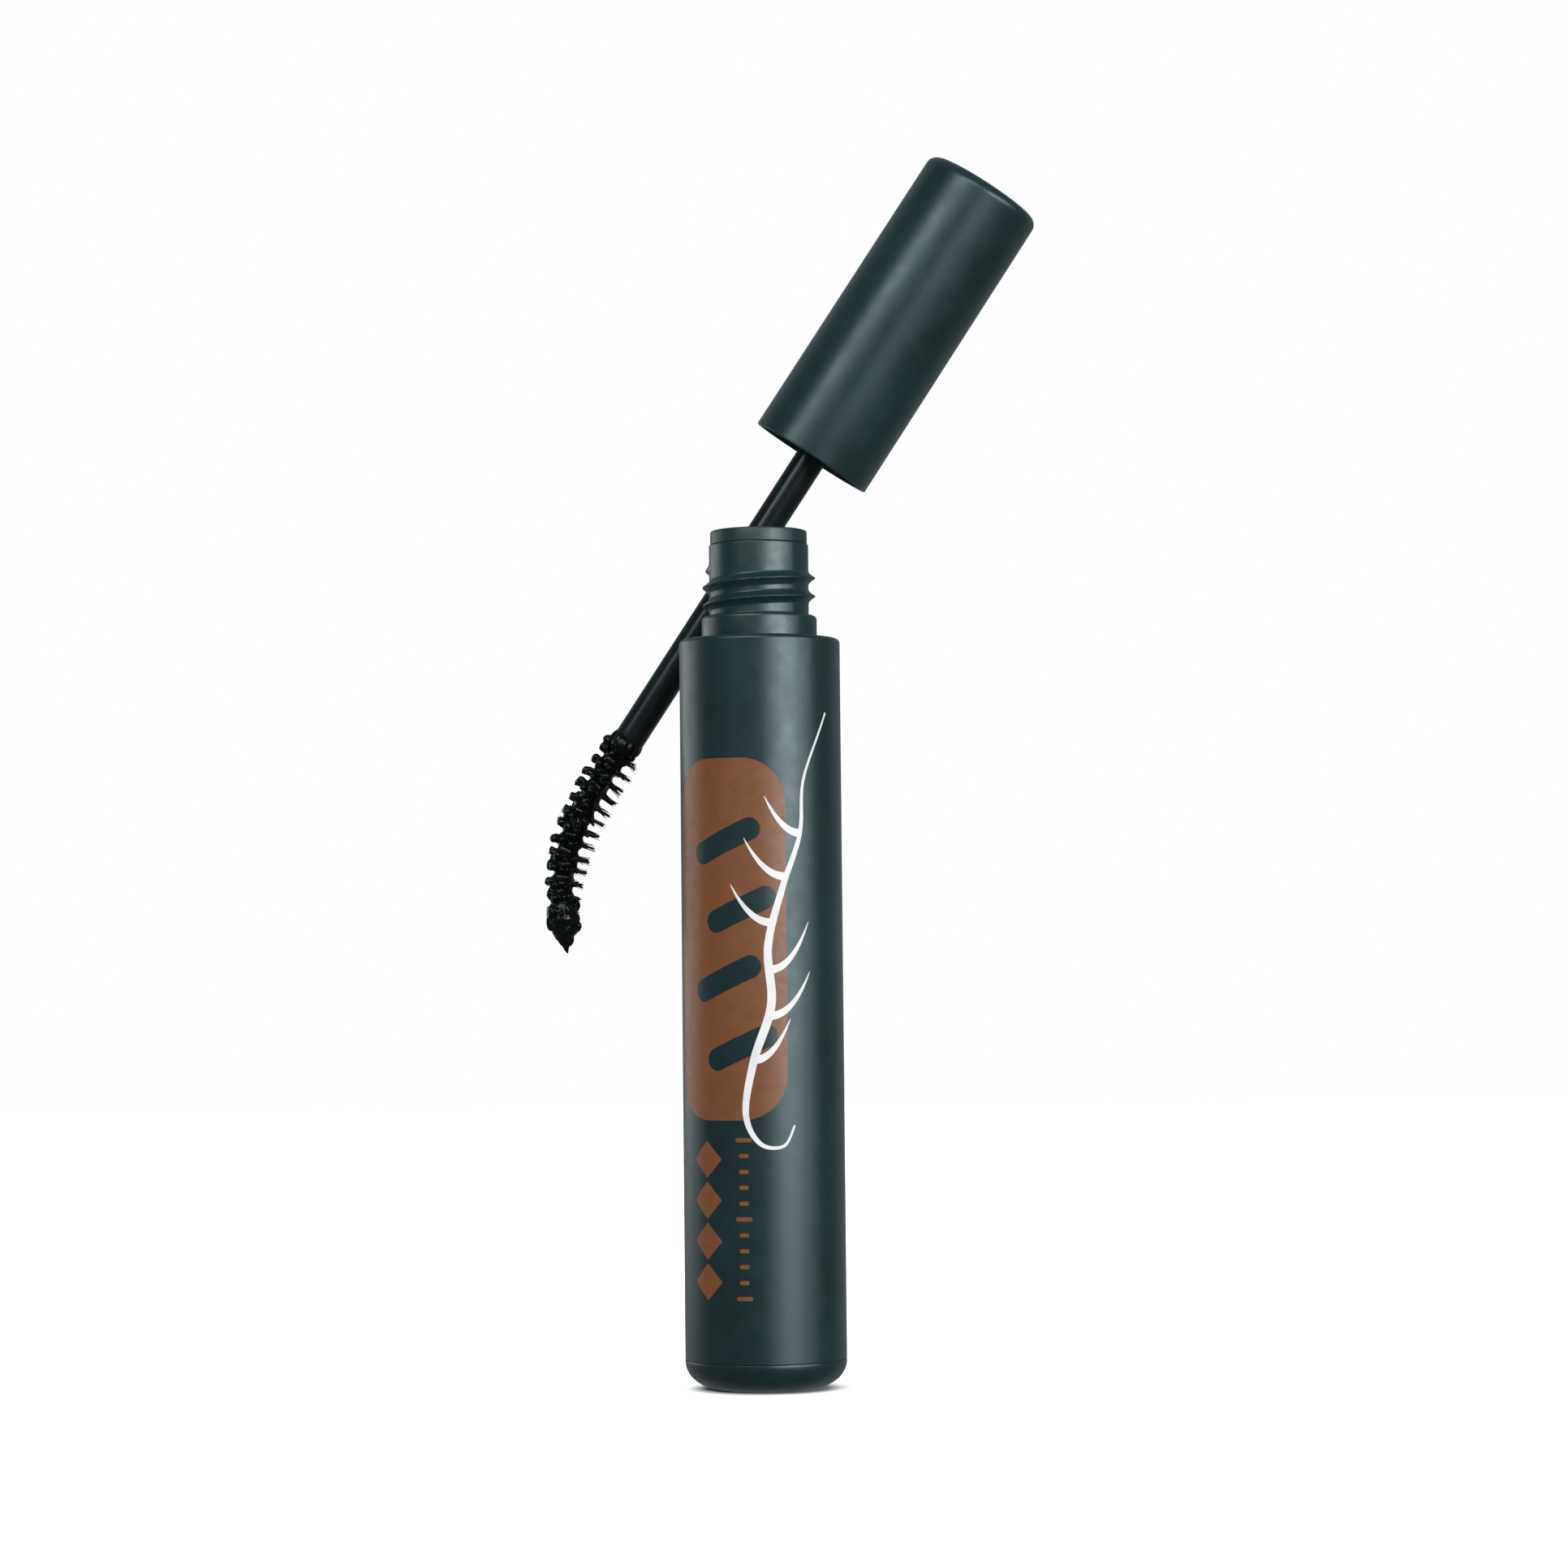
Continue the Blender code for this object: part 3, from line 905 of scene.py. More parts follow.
    def fill(self) -> Piece:
        """Build the paste in the vial, with a ragged channel down its middle."""
        outside = self.vial_radius - self.vial_wall - 0.3
        floor = self.bottom + self.vial_wall + 0.3
        outline = [
            (AXIS, floor),
            *round_corner((outside - 0.9, floor + 0.9), 0.9, -90, 0, 4),
            *straight(outside, floor + 2.0, self.fill_top - 0.4, 5.0),
            *round_corner((outside - 0.5, self.fill_top), 0.5, 0, 90, 4),
            (self.channel + 0.5, self.fill_top + 0.3),
            *straight(self.channel, self.fill_top - 0.6, 14.0, 0.9),
            *round_corner((self.channel - 1.5, 12.0), 1.5, 0, -90, 4),
            (AXIS, 10.5),
        ]
        piece = Turning("paste_in_vial", sides=72).turn(outline)
        for vertex in piece.data.vertices:
            flat = Vector((vertex.co.x, vertex.co.y, 0.0))
            if flat.length > (self.channel + 1.2) * MM or not 11.0 * MM < vertex.co.z:
                continue
            ragged = noise.noise(vertex.co / (2.4 * MM)) * 0.35 * MM
            vertex.co += flat.normalized() * abs(ragged)
        shade(piece, 80.0)
        return piece

    def build(self, plastic: Material, rubber: Material, paste: Material) -> None:
        """Build the four pieces and hand them to the frame.

        Args:
            plastic: The vial's finish.
            rubber: The wiper's finish.
            paste: The mascara's finish.
        """
        made = (
            (self.vial(), plastic, Slot.NECK, ["inner_vial"]),
            (self.wiper(), rubber, Slot.WIPER, ["wiper"]),
            (self.fill(), paste, Slot.PASTE, ["mascara_fill"]),
            (self.smears(), paste, Slot.PASTE, []),
        )
        for piece, material, slot, nodes in made:
            dress(piece, material)
            adopt(piece, Body.TUBE, nodes)


# ---------------------------------------------------------------- the print


def through(points: Sequence[Point], t: float) -> Point:
    """Give the place a fraction of the way along a smooth curve through points.

    Args:
        points: What the curve goes through.
        t: The fraction, from 0 to 1.

    Returns:
        The place.
    """
    spans = len(points) - 1
    number = min(int(t * spans), spans - 1)
    part = t * spans - number
    ends = [points[max(0, min(spans, number + i))] for i in (-1, 0, 1, 2)]
    place = []
    for axis in (0, 1):
        before, here, ahead, after = (end[axis] for end in ends)
        bend = (2 * before - 5 * here + 4 * ahead - after) * part ** 2
        twist = (3 * here - before - 3 * ahead + after) * part ** 3
        place.append(0.5 * (2 * here + (ahead - before) * part + bend + twist))
    return place[0], place[1]


@dataclass
class Print:
    """Generic print on the tube: a copper panel cut by slanted slots, a white flourish and copper ticks.

    It is drawn flat, across in the arc's length right of the front line and up in height, then wrapped.
    """

    radius: float = 9.271
    film: float = 0.012
    panel_left: float = -11.9
    panel_right: float = 2.85
    panel_low: float = 30.8
    panel_high: float = 71.8
    panel_round: float = 5.2
    strip: float = 0.35  # width of the strips that let a flat shape bend round the tube
    slot_slant: float = -24.0
    slots: Sequence[Triple] = (
        (62.4, -8.8, 0.2), (54.6, -7.0, 2.0), (46.8, -8.8, 0.2), (39.0, -7.0, 2.0),
    )
    spine: Sequence[Point] = (
        (3.6, 30.2), (2.3, 27.9), (-0.4, 28.2), (-2.0, 31.6), (-1.0, 37.6), (1.0, 43.8),
        (0.7, 50.4), (2.4, 57.0), (4.6, 63.2), (5.2, 69.6), (8.6, 77.0),
    )
    lashes: Sequence[Triple] = (
        (0.40, 4.2, 4.6), (0.48, 5.0, 5.0), (0.56, 4.8, 5.4),
        (0.64, -4.8, 4.4), (0.72, -4.8, 4.4), (0.80, -4.2, 4.2),
    )
    lozenges: int = 4
    lozenge_low: float = 12.6
    lozenge_pitch: float = 4.6
    dashes: int = 11
    dash_low: float = 10.8
    dash_pitch: float = 1.78
    dash_middle: float = -2.3

    def wrap(self, piece: Piece) -> None:
        """Cut a flat film into upright strips and bend it round the tube.

        Args:
            piece: The film, standing in the XZ plane.
        """
        low = min(vertex.co.x for vertex in piece.data.vertices) / MM
        high = max(vertex.co.x for vertex in piece.data.vertices) / MM
        count = math.floor((high - low) / self.strip)
        with editing(piece):
            for number in range(1, count + 1):
                slice_at(((low + (high - low) * number / (count + 1)) * MM, 0, 0), (1, 0, 0))
        for vertex in piece.data.vertices:
            across, out, up = vertex.co
            angle = across / (self.radius * MM)
            reach = self.radius * MM + out
            vertex.co = (reach * math.sin(angle), -reach * math.cos(angle), up)
        face_outwards(piece)
        shade(piece, 40.0)

    def thicken(self, piece: Piece, films: int = 1) -> None:
        """Give a flat shape that lies in the XZ plane a thickness of so many films, towards +Y.

        Args:
            piece: The flat shape.
            films: How many films thick it becomes.
        """
        depth = films * self.film * MM
        with editing(piece):
            bpy.ops.mesh.extrude_region_move(TRANSFORM_OT_translate={"value": (0, depth, 0)})
        face_outwards(piece)

    def rounded_plate(self, low: Point, high: Point, corner: float, turn: float = 0.0) -> Piece:
        """Build a flat plate with rounded corners.

        Args:
            low: Its lower left corner, across and up, in millimetres.
            high: Its upper right corner.
            corner: The corners' radius.
            turn: Degrees that it is turned about its own middle.

        Returns:
            The plate, in the XZ plane.
        """
        middle = ((low[0] + high[0]) / 2, (low[1] + high[1]) / 2)
        deselect_all()
        bpy.ops.mesh.primitive_plane_add(size=1.0, rotation=(math.radians(90), 0, 0))
        plate = bpy.context.object
        plate.scale = ((high[0] - low[0]) * MM, (high[1] - low[1]) * MM, 1.0)
        bpy.ops.object.transform_apply()
        with editing(plate):
            bpy.ops.mesh.bevel(offset=corner * MM, segments=10, affect="VERTICES")
        place = Matrix.Translation((middle[0] * MM, 0, middle[1] * MM))
        settle(plate, place @ Matrix.Rotation(math.radians(turn), 4, "Y"))
        return plate

    def panel(self) -> Piece:
        """Build the copper panel and cut its slanted slots."""
        plate = self.rounded_plate(
            (self.panel_left, self.panel_low), (self.panel_right, self.panel_high), self.panel_round
        )
        self.thicken(plate)
        for up, left, right in self.slots:
            cutter = self.rounded_plate((left, up - 1.3), (right, up + 1.3), 1.28, self.slot_slant)
            settle(cutter, Matrix.Translation((0, -self.film * MM, 0)))
            self.thicken(cutter, 3)
            apply_modifier(plate, "BOOLEAN", operation="DIFFERENCE", object=cutter, solver="EXACT")
            bpy.data.objects.remove(cutter)
        plate.name = plate.data.name = "print_copper_panel"
        self.wrap(plate)
        return plate

    def stroke(self, line: Callable[[float], Point], width: Callable[[float], float], steps: int) -> Piece:
        """Build one pen stroke as a flat ribbon.

        Args:
            line: Gives the middle of the stroke, across and up, for 0 to 1 along it.
            width: Gives its width there.
            steps: How many pieces it has.

        Returns:
            The ribbon, in the XZ plane.
        """
        ribbon = added(bpy.ops.mesh.primitive_grid_add, x_subdivisions=steps, y_subdivisions=2, size=1.0)
        for vertex in ribbon.data.vertices:
            along = min(max(vertex.co.x + 0.5, 0.0), 1.0)
            side = vertex.co.y
            here, ahead = line(along), line(along + 0.001)
            run = Vector((ahead[0] - here[0], ahead[1] - here[1])).normalized()
            offset = side * width(along)
            vertex.co = ((here[0] - run.y * offset) * MM, 0.0, (here[1] + run.x * offset) * MM)
        return ribbon

    def flourish(self) -> Piece:
        """Build the white flourish: a long pen stroke with lashes that branch from it."""
        def spine(t: float) -> Point:
            """Give the middle line of the long stroke."""
            return through(self.spine, t)

        def spine_width(t: float) -> float:
            """Give the long stroke's width."""
            return 0.26 + 0.72 * math.sin(math.pi * t) ** 2

        def lash(start: float, reach: float, rise: float) -> Callable[[float], Point]:
            """Give the middle line of a lash that leaves the spine at a fraction of its length."""
            foot = spine(start)
            return lambda t: (foot[0] + reach * t ** 0.8, foot[1] + rise * t ** 1.7)

        def lash_width(t: float) -> float:
            """Give a lash's width."""
            return 0.9 * (1.0 - t) ** 0.8 + 0.05

        strokes = [self.stroke(spine, spine_width, 200)]
        strokes += [self.stroke(lash(*place), lash_width, 28) for place in self.lashes]
        for number, ribbon in enumerate(strokes):
            lift = (self.film * 1.2 + 0.0005 * number) * MM
            settle(ribbon, Matrix.Translation((0, -lift, 0)))
            self.thicken(ribbon)
        piece = join(strokes, "print_white_flourish")
        for vertex in piece.data.vertices:
            vertex.co.y = -vertex.co.y + self.film * 0.2 * MM
        self.wrap(piece)
        return piece

    def ticks(self) -> Piece:
        """Build the small copper marks below the panel: a row of lozenges and a scale of dashes."""
        marks = []
        for number in range(self.lozenges):
            up = self.lozenge_low + self.lozenge_pitch * number
            marks.append(self.rounded_plate((-8.6, up - 1.5), (-5.6, up + 1.5), 0.25, 45.0))
        for number in range(self.dashes):
            up = self.dash_low + self.dash_pitch * number
            half = 0.95 if number % 5 == 0 else 0.55
            left, right = self.dash_middle - half, self.dash_middle + half
            marks.append(self.rounded_plate((left, up - 0.24), (right, up + 0.24), 0.2))
        for mark in marks:
            self.thicken(mark)
        piece = join(marks, "print_copper_ticks")
        self.wrap(piece)
        return piece

    def build(self, copper: Material, white: Material) -> None:
        """Build the print and hand it to the frame.

        Args:
            copper: The ink of the panel and the small marks.
            white: The flourish's ink.
        """
        for piece, ink in ((self.panel(), copper), (self.flourish(), white), (self.ticks(), copper)):
            dress(piece, ink)
            adopt(piece, Body.TUBE)


# ---------------------------------------------------------------- the wand


@dataclass
class WandAxis:
    """Where the wand lies, as its own joint says."""

    mouth: Vector
    upward: Vector

    @classmethod
    def from_frame(cls, joints: Sequence[dict]) -> "WandAxis":
        """Read the axis from the frame's joints."""
        turn = next(joint for joint in joints if joint["name"] == "cap_turn")
        return cls(Vector(turn["pos_m"]), Vector(turn["axis"]).normalized())

    def matrix(self) -> Matrix:
        """Give the matrix that carries an upright piece to the wand's axis."""
        across = Vector((0.0, 1.0, 0.0)).cross(self.upward).normalized()
        back = self.upward.cross(across)
        turn = Matrix((across, back, self.upward)).transposed().to_4x4()
        return Matrix.Translation(self.mouth) @ turn


@dataclass
class Cap:
    """The cap: its lacquered shell, the threaded liner, the foam ring and the stem."""

    axis: WandAxis
    mouth_radius: float = 7.525
    top_radius: float = 7.405
    length: float = 37.79
    bore: float = 7.05
    top_round: float = 1.2
    liner: float = 6.93
    liner_bore: float = 5.95
    liner_start: float = 2.75
    liner_top: float = 15.0
    thread_top: float = 10.4
    deck: float = 13.8
    washer_low: float = 12.2
    washer_high: float = 13.4
    stem_radius: float = 1.83
    stem_end: float = -40.4
    stem_bore: float = 0.75
    head_radius: float = 5.2

    def shell(self) -> Piece:
        """Build the shell, with a thin eased rim at its mouth."""
        corner = (self.top_radius - self.top_round, self.length - self.top_round)
        narrowing, rise = self.top_radius - self.mouth_radius, corner[1] - 0.35
        walls = [(self.mouth_radius + narrowing * i / 9, 0.25 + rise * i / 9) for i in range(10)]
        outline = [
            (AXIS, self.length - 1.0),
            (self.bore - 1.2, self.length - 1.0),
            (self.bore, self.length - 2.6),
            (self.bore, 0.12),
            *round_corner((self.bore + 0.11, 0.11), 0.11, 180, 270, 3),
            *round_corner((self.mouth_radius - 0.13, 0.13), 0.13, -90, 0, 4),
            *walls,
            *round_corner(corner, self.top_round, 0, 90, 12),
            (AXIS, self.length),
        ]
        return Turning("cap_lacquered_shell").turn(outline)

    def threaded_liner(self) -> Piece:
        """Build the liner and cut its thread."""
        hole = self.stem_radius + 1.45
        outline = [
            (self.liner_bore + 0.35, self.liner_start),
            (self.liner - 0.1, self.liner_start),
            (self.liner, self.liner_start + 0.1),
            (self.liner, self.liner_top - 0.2),
            (self.liner - 0.2, self.liner_top),
            (hole, self.liner_top),
            (hole, self.deck),
            (self.liner_bore, self.deck),
            *straight(self.liner_bore, self.thread_top + 1.0, self.liner_start + 0.35, 0.12),
        ]
        piece = Turning("cap_threaded_liner", sides=120).turn(outline)
        thread = Thread(
            self.liner_bore, 0.65, 4.9, -250.0, 700.0, root_half=0.66, crest_half=0.2, hollow=1.0
        )
        thread.raise_on(piece, self.liner_start + 0.2, self.thread_top)
        shade(piece, 50.0)
        return piece

    def foam_ring(self) -> Piece:
        """Build the foam ring, dented where the neck has pressed into it."""
        inner, outer = self.stem_radius + 0.3, self.liner_bore - 0.3
        low = self.washer_low
        outline = [
            (inner, low + 0.08),
            (inner, self.washer_high),
            (outer, self.washer_high),
            (outer, low + 0.1),
            (outer - 0.1, low),
            (outer - 0.25, low),
            *round_corner((4.7, low + 0.5), 0.62, -35, -145, 8),
            (3.7, low),
            (inner + 0.08, low),
        ]
        return Turning("cap_foam_ring", sides=96).turn(outline)

    def stem(self) -> Piece:
        """Build the stem, from the bore that grips the wire to the head above the deck."""
        boss = self.stem_radius + 1.15
        head = self.liner_top + 0.3
        end = self.stem_end
        outline = [
            (AXIS, end + 6.0),
            (self.stem_bore, end + 6.0),
            (self.stem_bore, end + 0.15),
            (self.stem_bore + 0.15, end),
            (self.stem_radius - 0.35, end),
            *round_corner((self.stem_radius - 0.35, end + 0.35), 0.35, -90, 0, 6),
            *straight(self.stem_radius, end + 2.0, self.washer_high, 3.0),
            (self.stem_radius, self.washer_high + 0.15),
            (boss, self.washer_high + 0.15),
            (boss, head),
            (self.head_radius - 0.1, head),
            (self.head_radius, head + 0.1),
            (self.head_radius, head + 1.1),
            (self.head_radius - 0.1, head + 1.2),
            (2.6, head + 1.2),
            (2.2, head + 3.4),
            (AXIS, head + 3.4),
        ]
        return Turning("wand_stem", sides=96).turn(outline)

    def build(self, finishes: dict[Slot, Material]) -> None:
        """Build the four pieces and hand them to the frame.

        Args:
            finishes: The finish of each slot.
        """
        made = (
            (self.shell(), Slot.CAP, Body.WAND, "cap_shell"),
            (self.threaded_liner(), Slot.LINER, Body.WAND, "inner_cap"),
            (self.foam_ring(), Slot.FOAM, Body.SEAL, "seal_washer"),
            (self.stem(), Slot.STEM, Body.WAND, "stem"),
        )
        for piece, slot, body, node in made:
            settle(piece, self.axis.matrix())
            dress(piece, finishes[slot])
            adopt(piece, body, [node])


@dataclass
class BrushLine:
    """The brush's centre line: straight out of the stem, then an even bend."""

    start: float = -40.4
    bend_start: float = -46.3
    bend_radius: float = 26.5

    def at(self, along: float) -> Matrix:
        """Give the place on the line, with +Z towards the tip and +X to the inside of the bend.

        Args:
            along: The distance from the stem's end, in millimetres.

        Returns:
            The place as a matrix, in metres.
        """
        over = Matrix.Rotation(math.pi, 4, "X")
        straight_run = self.start - self.bend_start
        if along <= straight_run:
            return Matrix.Translation((0, 0, (self.start - along) * MM)) @ over
        angle = (along - straight_run) / self.bend_radius
        across = self.bend_radius * (1.0 - math.cos(angle))
        down = self.bend_start - self.bend_radius * math.sin(angle)
        place = Matrix.Translation((across * MM, 0, down * MM))
        return place @ Matrix.Rotation(-angle, 4, "Y") @ over


@dataclass(frozen=True)
class Clump:
    """A finger of paste with the fibres in it, in millimetres."""

    along: float
    around: float
    length: float
    root: float
    waist: float
    tip: float
    droop: float
    seed: float

    def turn(self) -> Matrix:
        """Give the turn that points +Z out from the wire, with +X back towards the stem."""
        return Matrix.Rotation(-self.around, 4, "Z") @ Matrix.Rotation(math.pi / 2, 4, "Y")

    def girth(self, t: float) -> float:
        """Give the finger's radius at a fraction of its length.

        Args:
            t: The fraction, from 0 to 1.

        Returns:
            The radius in millimetres.
        """
        flare = max(0.0, 1.0 - t / 0.62)
        swell = max(0.0, (t - 0.45) / 0.55)
        return self.waist + (self.root - self.waist) * flare ** 1.6 + (self.tip - self.waist) * swell


@dataclass
class Brush:
    """The loaded brush: twisted wire, turns of nylon fibre, and the wet paste that clumps them."""

    axis: WandAxis
    line: BrushLine = field(default_factory=BrushLine)
    rows: int = 14
    first: float = 1.6
    pitch: float = 1.65
    reach: float = 3.045
    tip_reach: float = 1.78
    taper_start: float = 14.0
    strand: float = 0.21  # radius of one of the wire's two strands
    twist: float = 2.4
    wire_start: float = -5.4
    wire_end: float = 25.2
    wire_cuts: int = 150
    core: float = 1.42
    clumps: int = 11
    voxel: float = 0.095
    fibres: int = 4  # in each clump
    fibre: float = 0.05
    core_end: float = 26.6
    webs: int = 26
    lumps: int = 14
    collar: int = 16

    def reach_at(self, along: float) -> float:
        """Give the bristles' length at a distance along the brush.

        Args:
            along: The distance from the stem's end, in millimetres.

        Returns:
            The length in millimetres, from the brush's middle.
        """
        last = self.first + self.pitch * (self.rows - 1)
        part = max(0.0, (along - self.taper_start) / (last - self.taper_start))
        return self.reach + (self.tip_reach - self.reach) * part

    def twisted_wire(self) -> Piece:
        """Build the two strands of wire, wound round each other."""
        strands = []
        for turn in (0.0, math.pi):
            radius = self.strand * MM
            strand = added(bpy.ops.mesh.primitive_cylinder_add, vertices=10, radius=radius, depth=MM)
            with editing(strand):
                for number in range(1, self.wire_cuts):
                    slice_at((0, 0, (number / self.wire_cuts - 0.5) * MM), (0, 0, 1))
            for vertex in strand.data.vertices:
                part = vertex.co.z / MM + 0.5
                along = self.wire_start + part * (self.wire_end - self.wire_start)
                wind = spoke(turn + math.tau * along / self.twist) * 0.2 * MM
                vertex.co = self.line.at(along) @ (Vector((vertex.co.x, vertex.co.y, 0.0)) + wind)
            strands.append(strand)
        piece = join(strands, "brush_twisted_wire")
        face_outwards(piece)
        shade(piece, 60.0)
        return piece

    def clump_places(self, row: int) -> list[Clump]:
        """Lay out the clumps of one turn of fibre.

        Args:
            row: The turn's number from the stem.

        Returns:
            The clumps, once round the wire.
        """
        draws = random.Random(500 + row)
        middle = self.first + self.pitch * row
        phase = draws.uniform(0.0, math.tau)
        places = []
        for number in range(self.clumps):
            around = phase + math.tau * (number + draws.uniform(-0.2, 0.2)) / self.clumps
            along = middle + draws.uniform(-0.13, 0.13)
            inside = (1.0 + math.cos(around)) / 2.0
            heavy = draws.uniform(0.75, 1.25)
            places.append(Clump(
                along=along,
                around=around,
                length=self.reach_at(along) * draws.uniform(0.80 + 0.1 * inside, 0.985),
                root=draws.uniform(0.66, 0.9),
                waist=0.43 * heavy * (1.0 - 0.52 * inside),
                tip=0.50 * heavy * (1.0 - 0.70 * inside),
                droop=draws.uniform(-0.2, 0.35) + 0.08 * inside,
                seed=draws.uniform(0.0, 50.0),
            ))
        return places

    def clump_pattern(self) -> bpy.types.Mesh:
        """Draw the pattern of one clump: a finger one unit long and wide, with a rounded end."""
        wall = straight(1.0, 0.0, 0.84, 0.12)
        outline = [(AXIS, 0.0), *wall, (0.92, 0.92), (0.7, 0.97), (AXIS, 1.0)]
        piece = Turning("clump_pattern", sides=10).turn(outline)
        mesh = piece.data.copy()
        bpy.data.objects.remove(piece)
        mesh.transform(Matrix.Scale(1.0 / MM, 4))
        return mesh

    def add_clump(self, into: Gather, pattern: bpy.types.Mesh, clump: Clump) -> None:
        """Copy the clump pattern onto the brush.

        Args:
            into: The mesh that gathers the paste.
            pattern: The unit clump.
            clump: Where it goes and what shape it has.
        """
        place = self.line.at(clump.along) @ clump.turn()
        copy = pattern.copy()
        for vertex in copy.vertices:
            t = min(max(vertex.co.z, 0.0), 1.0)
            sample = Vector((t * 2.6, vertex.co.x * 0.7, vertex.co.y * 0.7 + clump.seed))
            girth = clump.girth(t) * (1.0 + 0.6 * noise.noise(sample))
            lift = vertex.co.x * girth - clump.droop * t * t
            vertex.co = place @ (Vector((lift, vertex.co.y * girth, t * clump.length)) * MM)
        into.from_mesh(copy)
        bpy.data.meshes.remove(copy)

    def add_ball(self, into: Gather, along: float, offset: Vector, size: Vector) -> None:
        """Add an egg of paste, offset from the line, in millimetres.

        Args:
            into: The mesh that gathers the paste.
            along: Where it sits along the brush.
            offset: How far its middle is from the line.
            size: Its three radii.
        """
        place = self.line.at(along) @ Matrix.Translation(offset * MM)
        stretch = Matrix.Diagonal((*(size * MM), 1.0))
        bmesh.ops.create_icosphere(into, subdivisions=3, radius=1.0, matrix=place @ stretch)

    def add_core(self, into: Gather) -> None:
        """Add the paste packed round the wire, swelling at each turn of fibre, and the drip at its tip.

        Args:
            into: The mesh that gathers the paste.
        """
        steps, sides, end = 130, 24, self.core_end
        rings = []
        for step in range(steps + 1):
            along = 0.2 + (end - 0.2) * step / steps
            swell = 0.16 * math.cos(math.tau * (along - self.first) / self.pitch)
            girth = (self.core + swell) * min(1.0, (end - along) / 3.6 + 0.02) ** 0.9
            heavy = Vector((-0.28 * min(1.0, along / 3.0) * min(1.0, (end - along) / 5.0), 0.0, 0.0))
            ring = []
            for side in range(sides):
                out = spoke(math.tau * side / sides)
                lump = 1.0 + 0.3 * noise.noise(Vector((out.x, out.y, along * 0.8)))
                point = heavy + out * girth * lump
                ring.append(into.verts.new(self.line.at(along) @ (point * MM)))
            rings.append(ring)
        for one, two in zip(rings, rings[1:]):
            for i in range(sides):
                into.faces.new((one[i], one[(i + 1) % sides], two[(i + 1) % sides], two[i]))
        into.faces.new(rings[0])
        into.faces.new(rings[-1])

    def add_webs(self, into: Gather) -> None:
        """Add the paste that bridges neighbouring turns of fibre on the outside of the bend.

        Args:
            into: The mesh that gathers the paste.
        """
        draws = random.Random(61)
        for _ in range(self.webs):
            along = draws.uniform(1.2, 20.5)
            around = math.pi + draws.gauss(0.0, 0.85)
            out = min(self.reach_at(along) - 0.7, draws.uniform(1.2, 1.9))
            lean = spoke(around) * out
            size = Vector((draws.uniform(0.3, 0.5), draws.uniform(0.3, 0.6), draws.uniform(0.6, 1.1)))
            self.add_ball(into, along, lean, size)

    def add_tip_and_collar(self, into: Gather) -> None:
        """Add the heavy gob at the tip and the ring of paste dragged onto the end of the stem.

        Args:
            into: The mesh that gathers the paste.
        """
        draws = random.Random(29)
        gobs = ((20.9, 1.55, 0.9), (22.4, 1.9, 1.5), (23.6, 1.6, 1.3), (24.7, 1.0, 1.1))
        for along, girth, tall in gobs:
            self.add_ball(into, along, Vector((0.1, 0.0, 0.0)), Vector((girth, girth * 0.95, tall)))
        for _ in range(self.lumps):
            lean = spoke(draws.uniform(0.0, math.tau)) * draws.uniform(1.2, 1.6)
            size = Vector((draws.uniform(0.35, 0.6), draws.uniform(0.35, 0.6), draws.uniform(0.5, 1.1)))
            self.add_ball(into, draws.uniform(20.8, 23.6), lean, size)
        for number in range(self.collar):
            around = math.tau * number / self.collar + draws.uniform(-0.15, 0.15)
            heavy = 0.68 if math.cos(around) < -0.1 else 0.5
            along = draws.uniform(-0.2, 0.3)
            size = Vector((heavy, heavy, draws.uniform(1.0, 1.4)))
            self.add_ball(into, along, spoke(around) * 1.5, size)
        drips = (
            (3.14, 0.6, 0.8, 1.95), (3.6, 0.1, 0.7, 1.7), (-2.2, -0.7, 0.5, 1.6),
            (0.6, 0.9, 0.6, 1.6), (4.4, -1.3, 0.4, 1.6),
        )
        for around, along, size, out in drips:
            self.add_ball(into, along, spoke(around) * out, Vector((size, size, size * 0.85)))

    def paste(self) -> Piece:
        """Build the whole coat of paste, fused and roughened."""
        pattern = self.clump_pattern()
        gather = bmesh.new()
        self.add_core(gather)
        for row in range(self.rows):
            for clump in self.clump_places(row):
                self.add_clump(gather, pattern, clump)
        self.add_webs(gather)
        self.add_tip_and_collar(gather)
        bpy.data.meshes.remove(pattern)
        piece = gathered(gather, "brush_paste")
        voxel = self.voxel * 1.0
        apply_modifier(piece, "REMESH", mode="VOXEL", voxel_size=voxel * MM, adaptivity=0.0)
        apply_modifier(piece, "SMOOTH", factor=0.5, iterations=4)
        normals = [vertex.normal.copy() for vertex in piece.data.vertices]
        for vertex, normal in zip(piece.data.vertices, normals):
            coarse = noise.noise(vertex.co / (0.8 * MM))
            fine = noise.noise(vertex.co / (0.3 * MM))
            vertex.co += normal * (0.06 * coarse + 0.006 * fine) * MM
        make_active(piece)
        bpy.ops.object.shade_smooth()
        return piece

    def fibre_pattern(self) -> bpy.types.Mesh:
        """Draw one nylon fibre: a thin tapered bristle one unit long."""
        piece = added(
            bpy.ops.mesh.primitive_cone_add, vertices=4, radius1=1.0, radius2=0.45, depth=1.0,
            location=(0, 0, 0.5),
        )
        with editing(piece):
            for height in (0.4, 0.75):
                slice_at((0, 0, height), (0, 0, 1))
        mesh = piece.data.copy()
        bpy.data.objects.remove(piece)
        return mesh

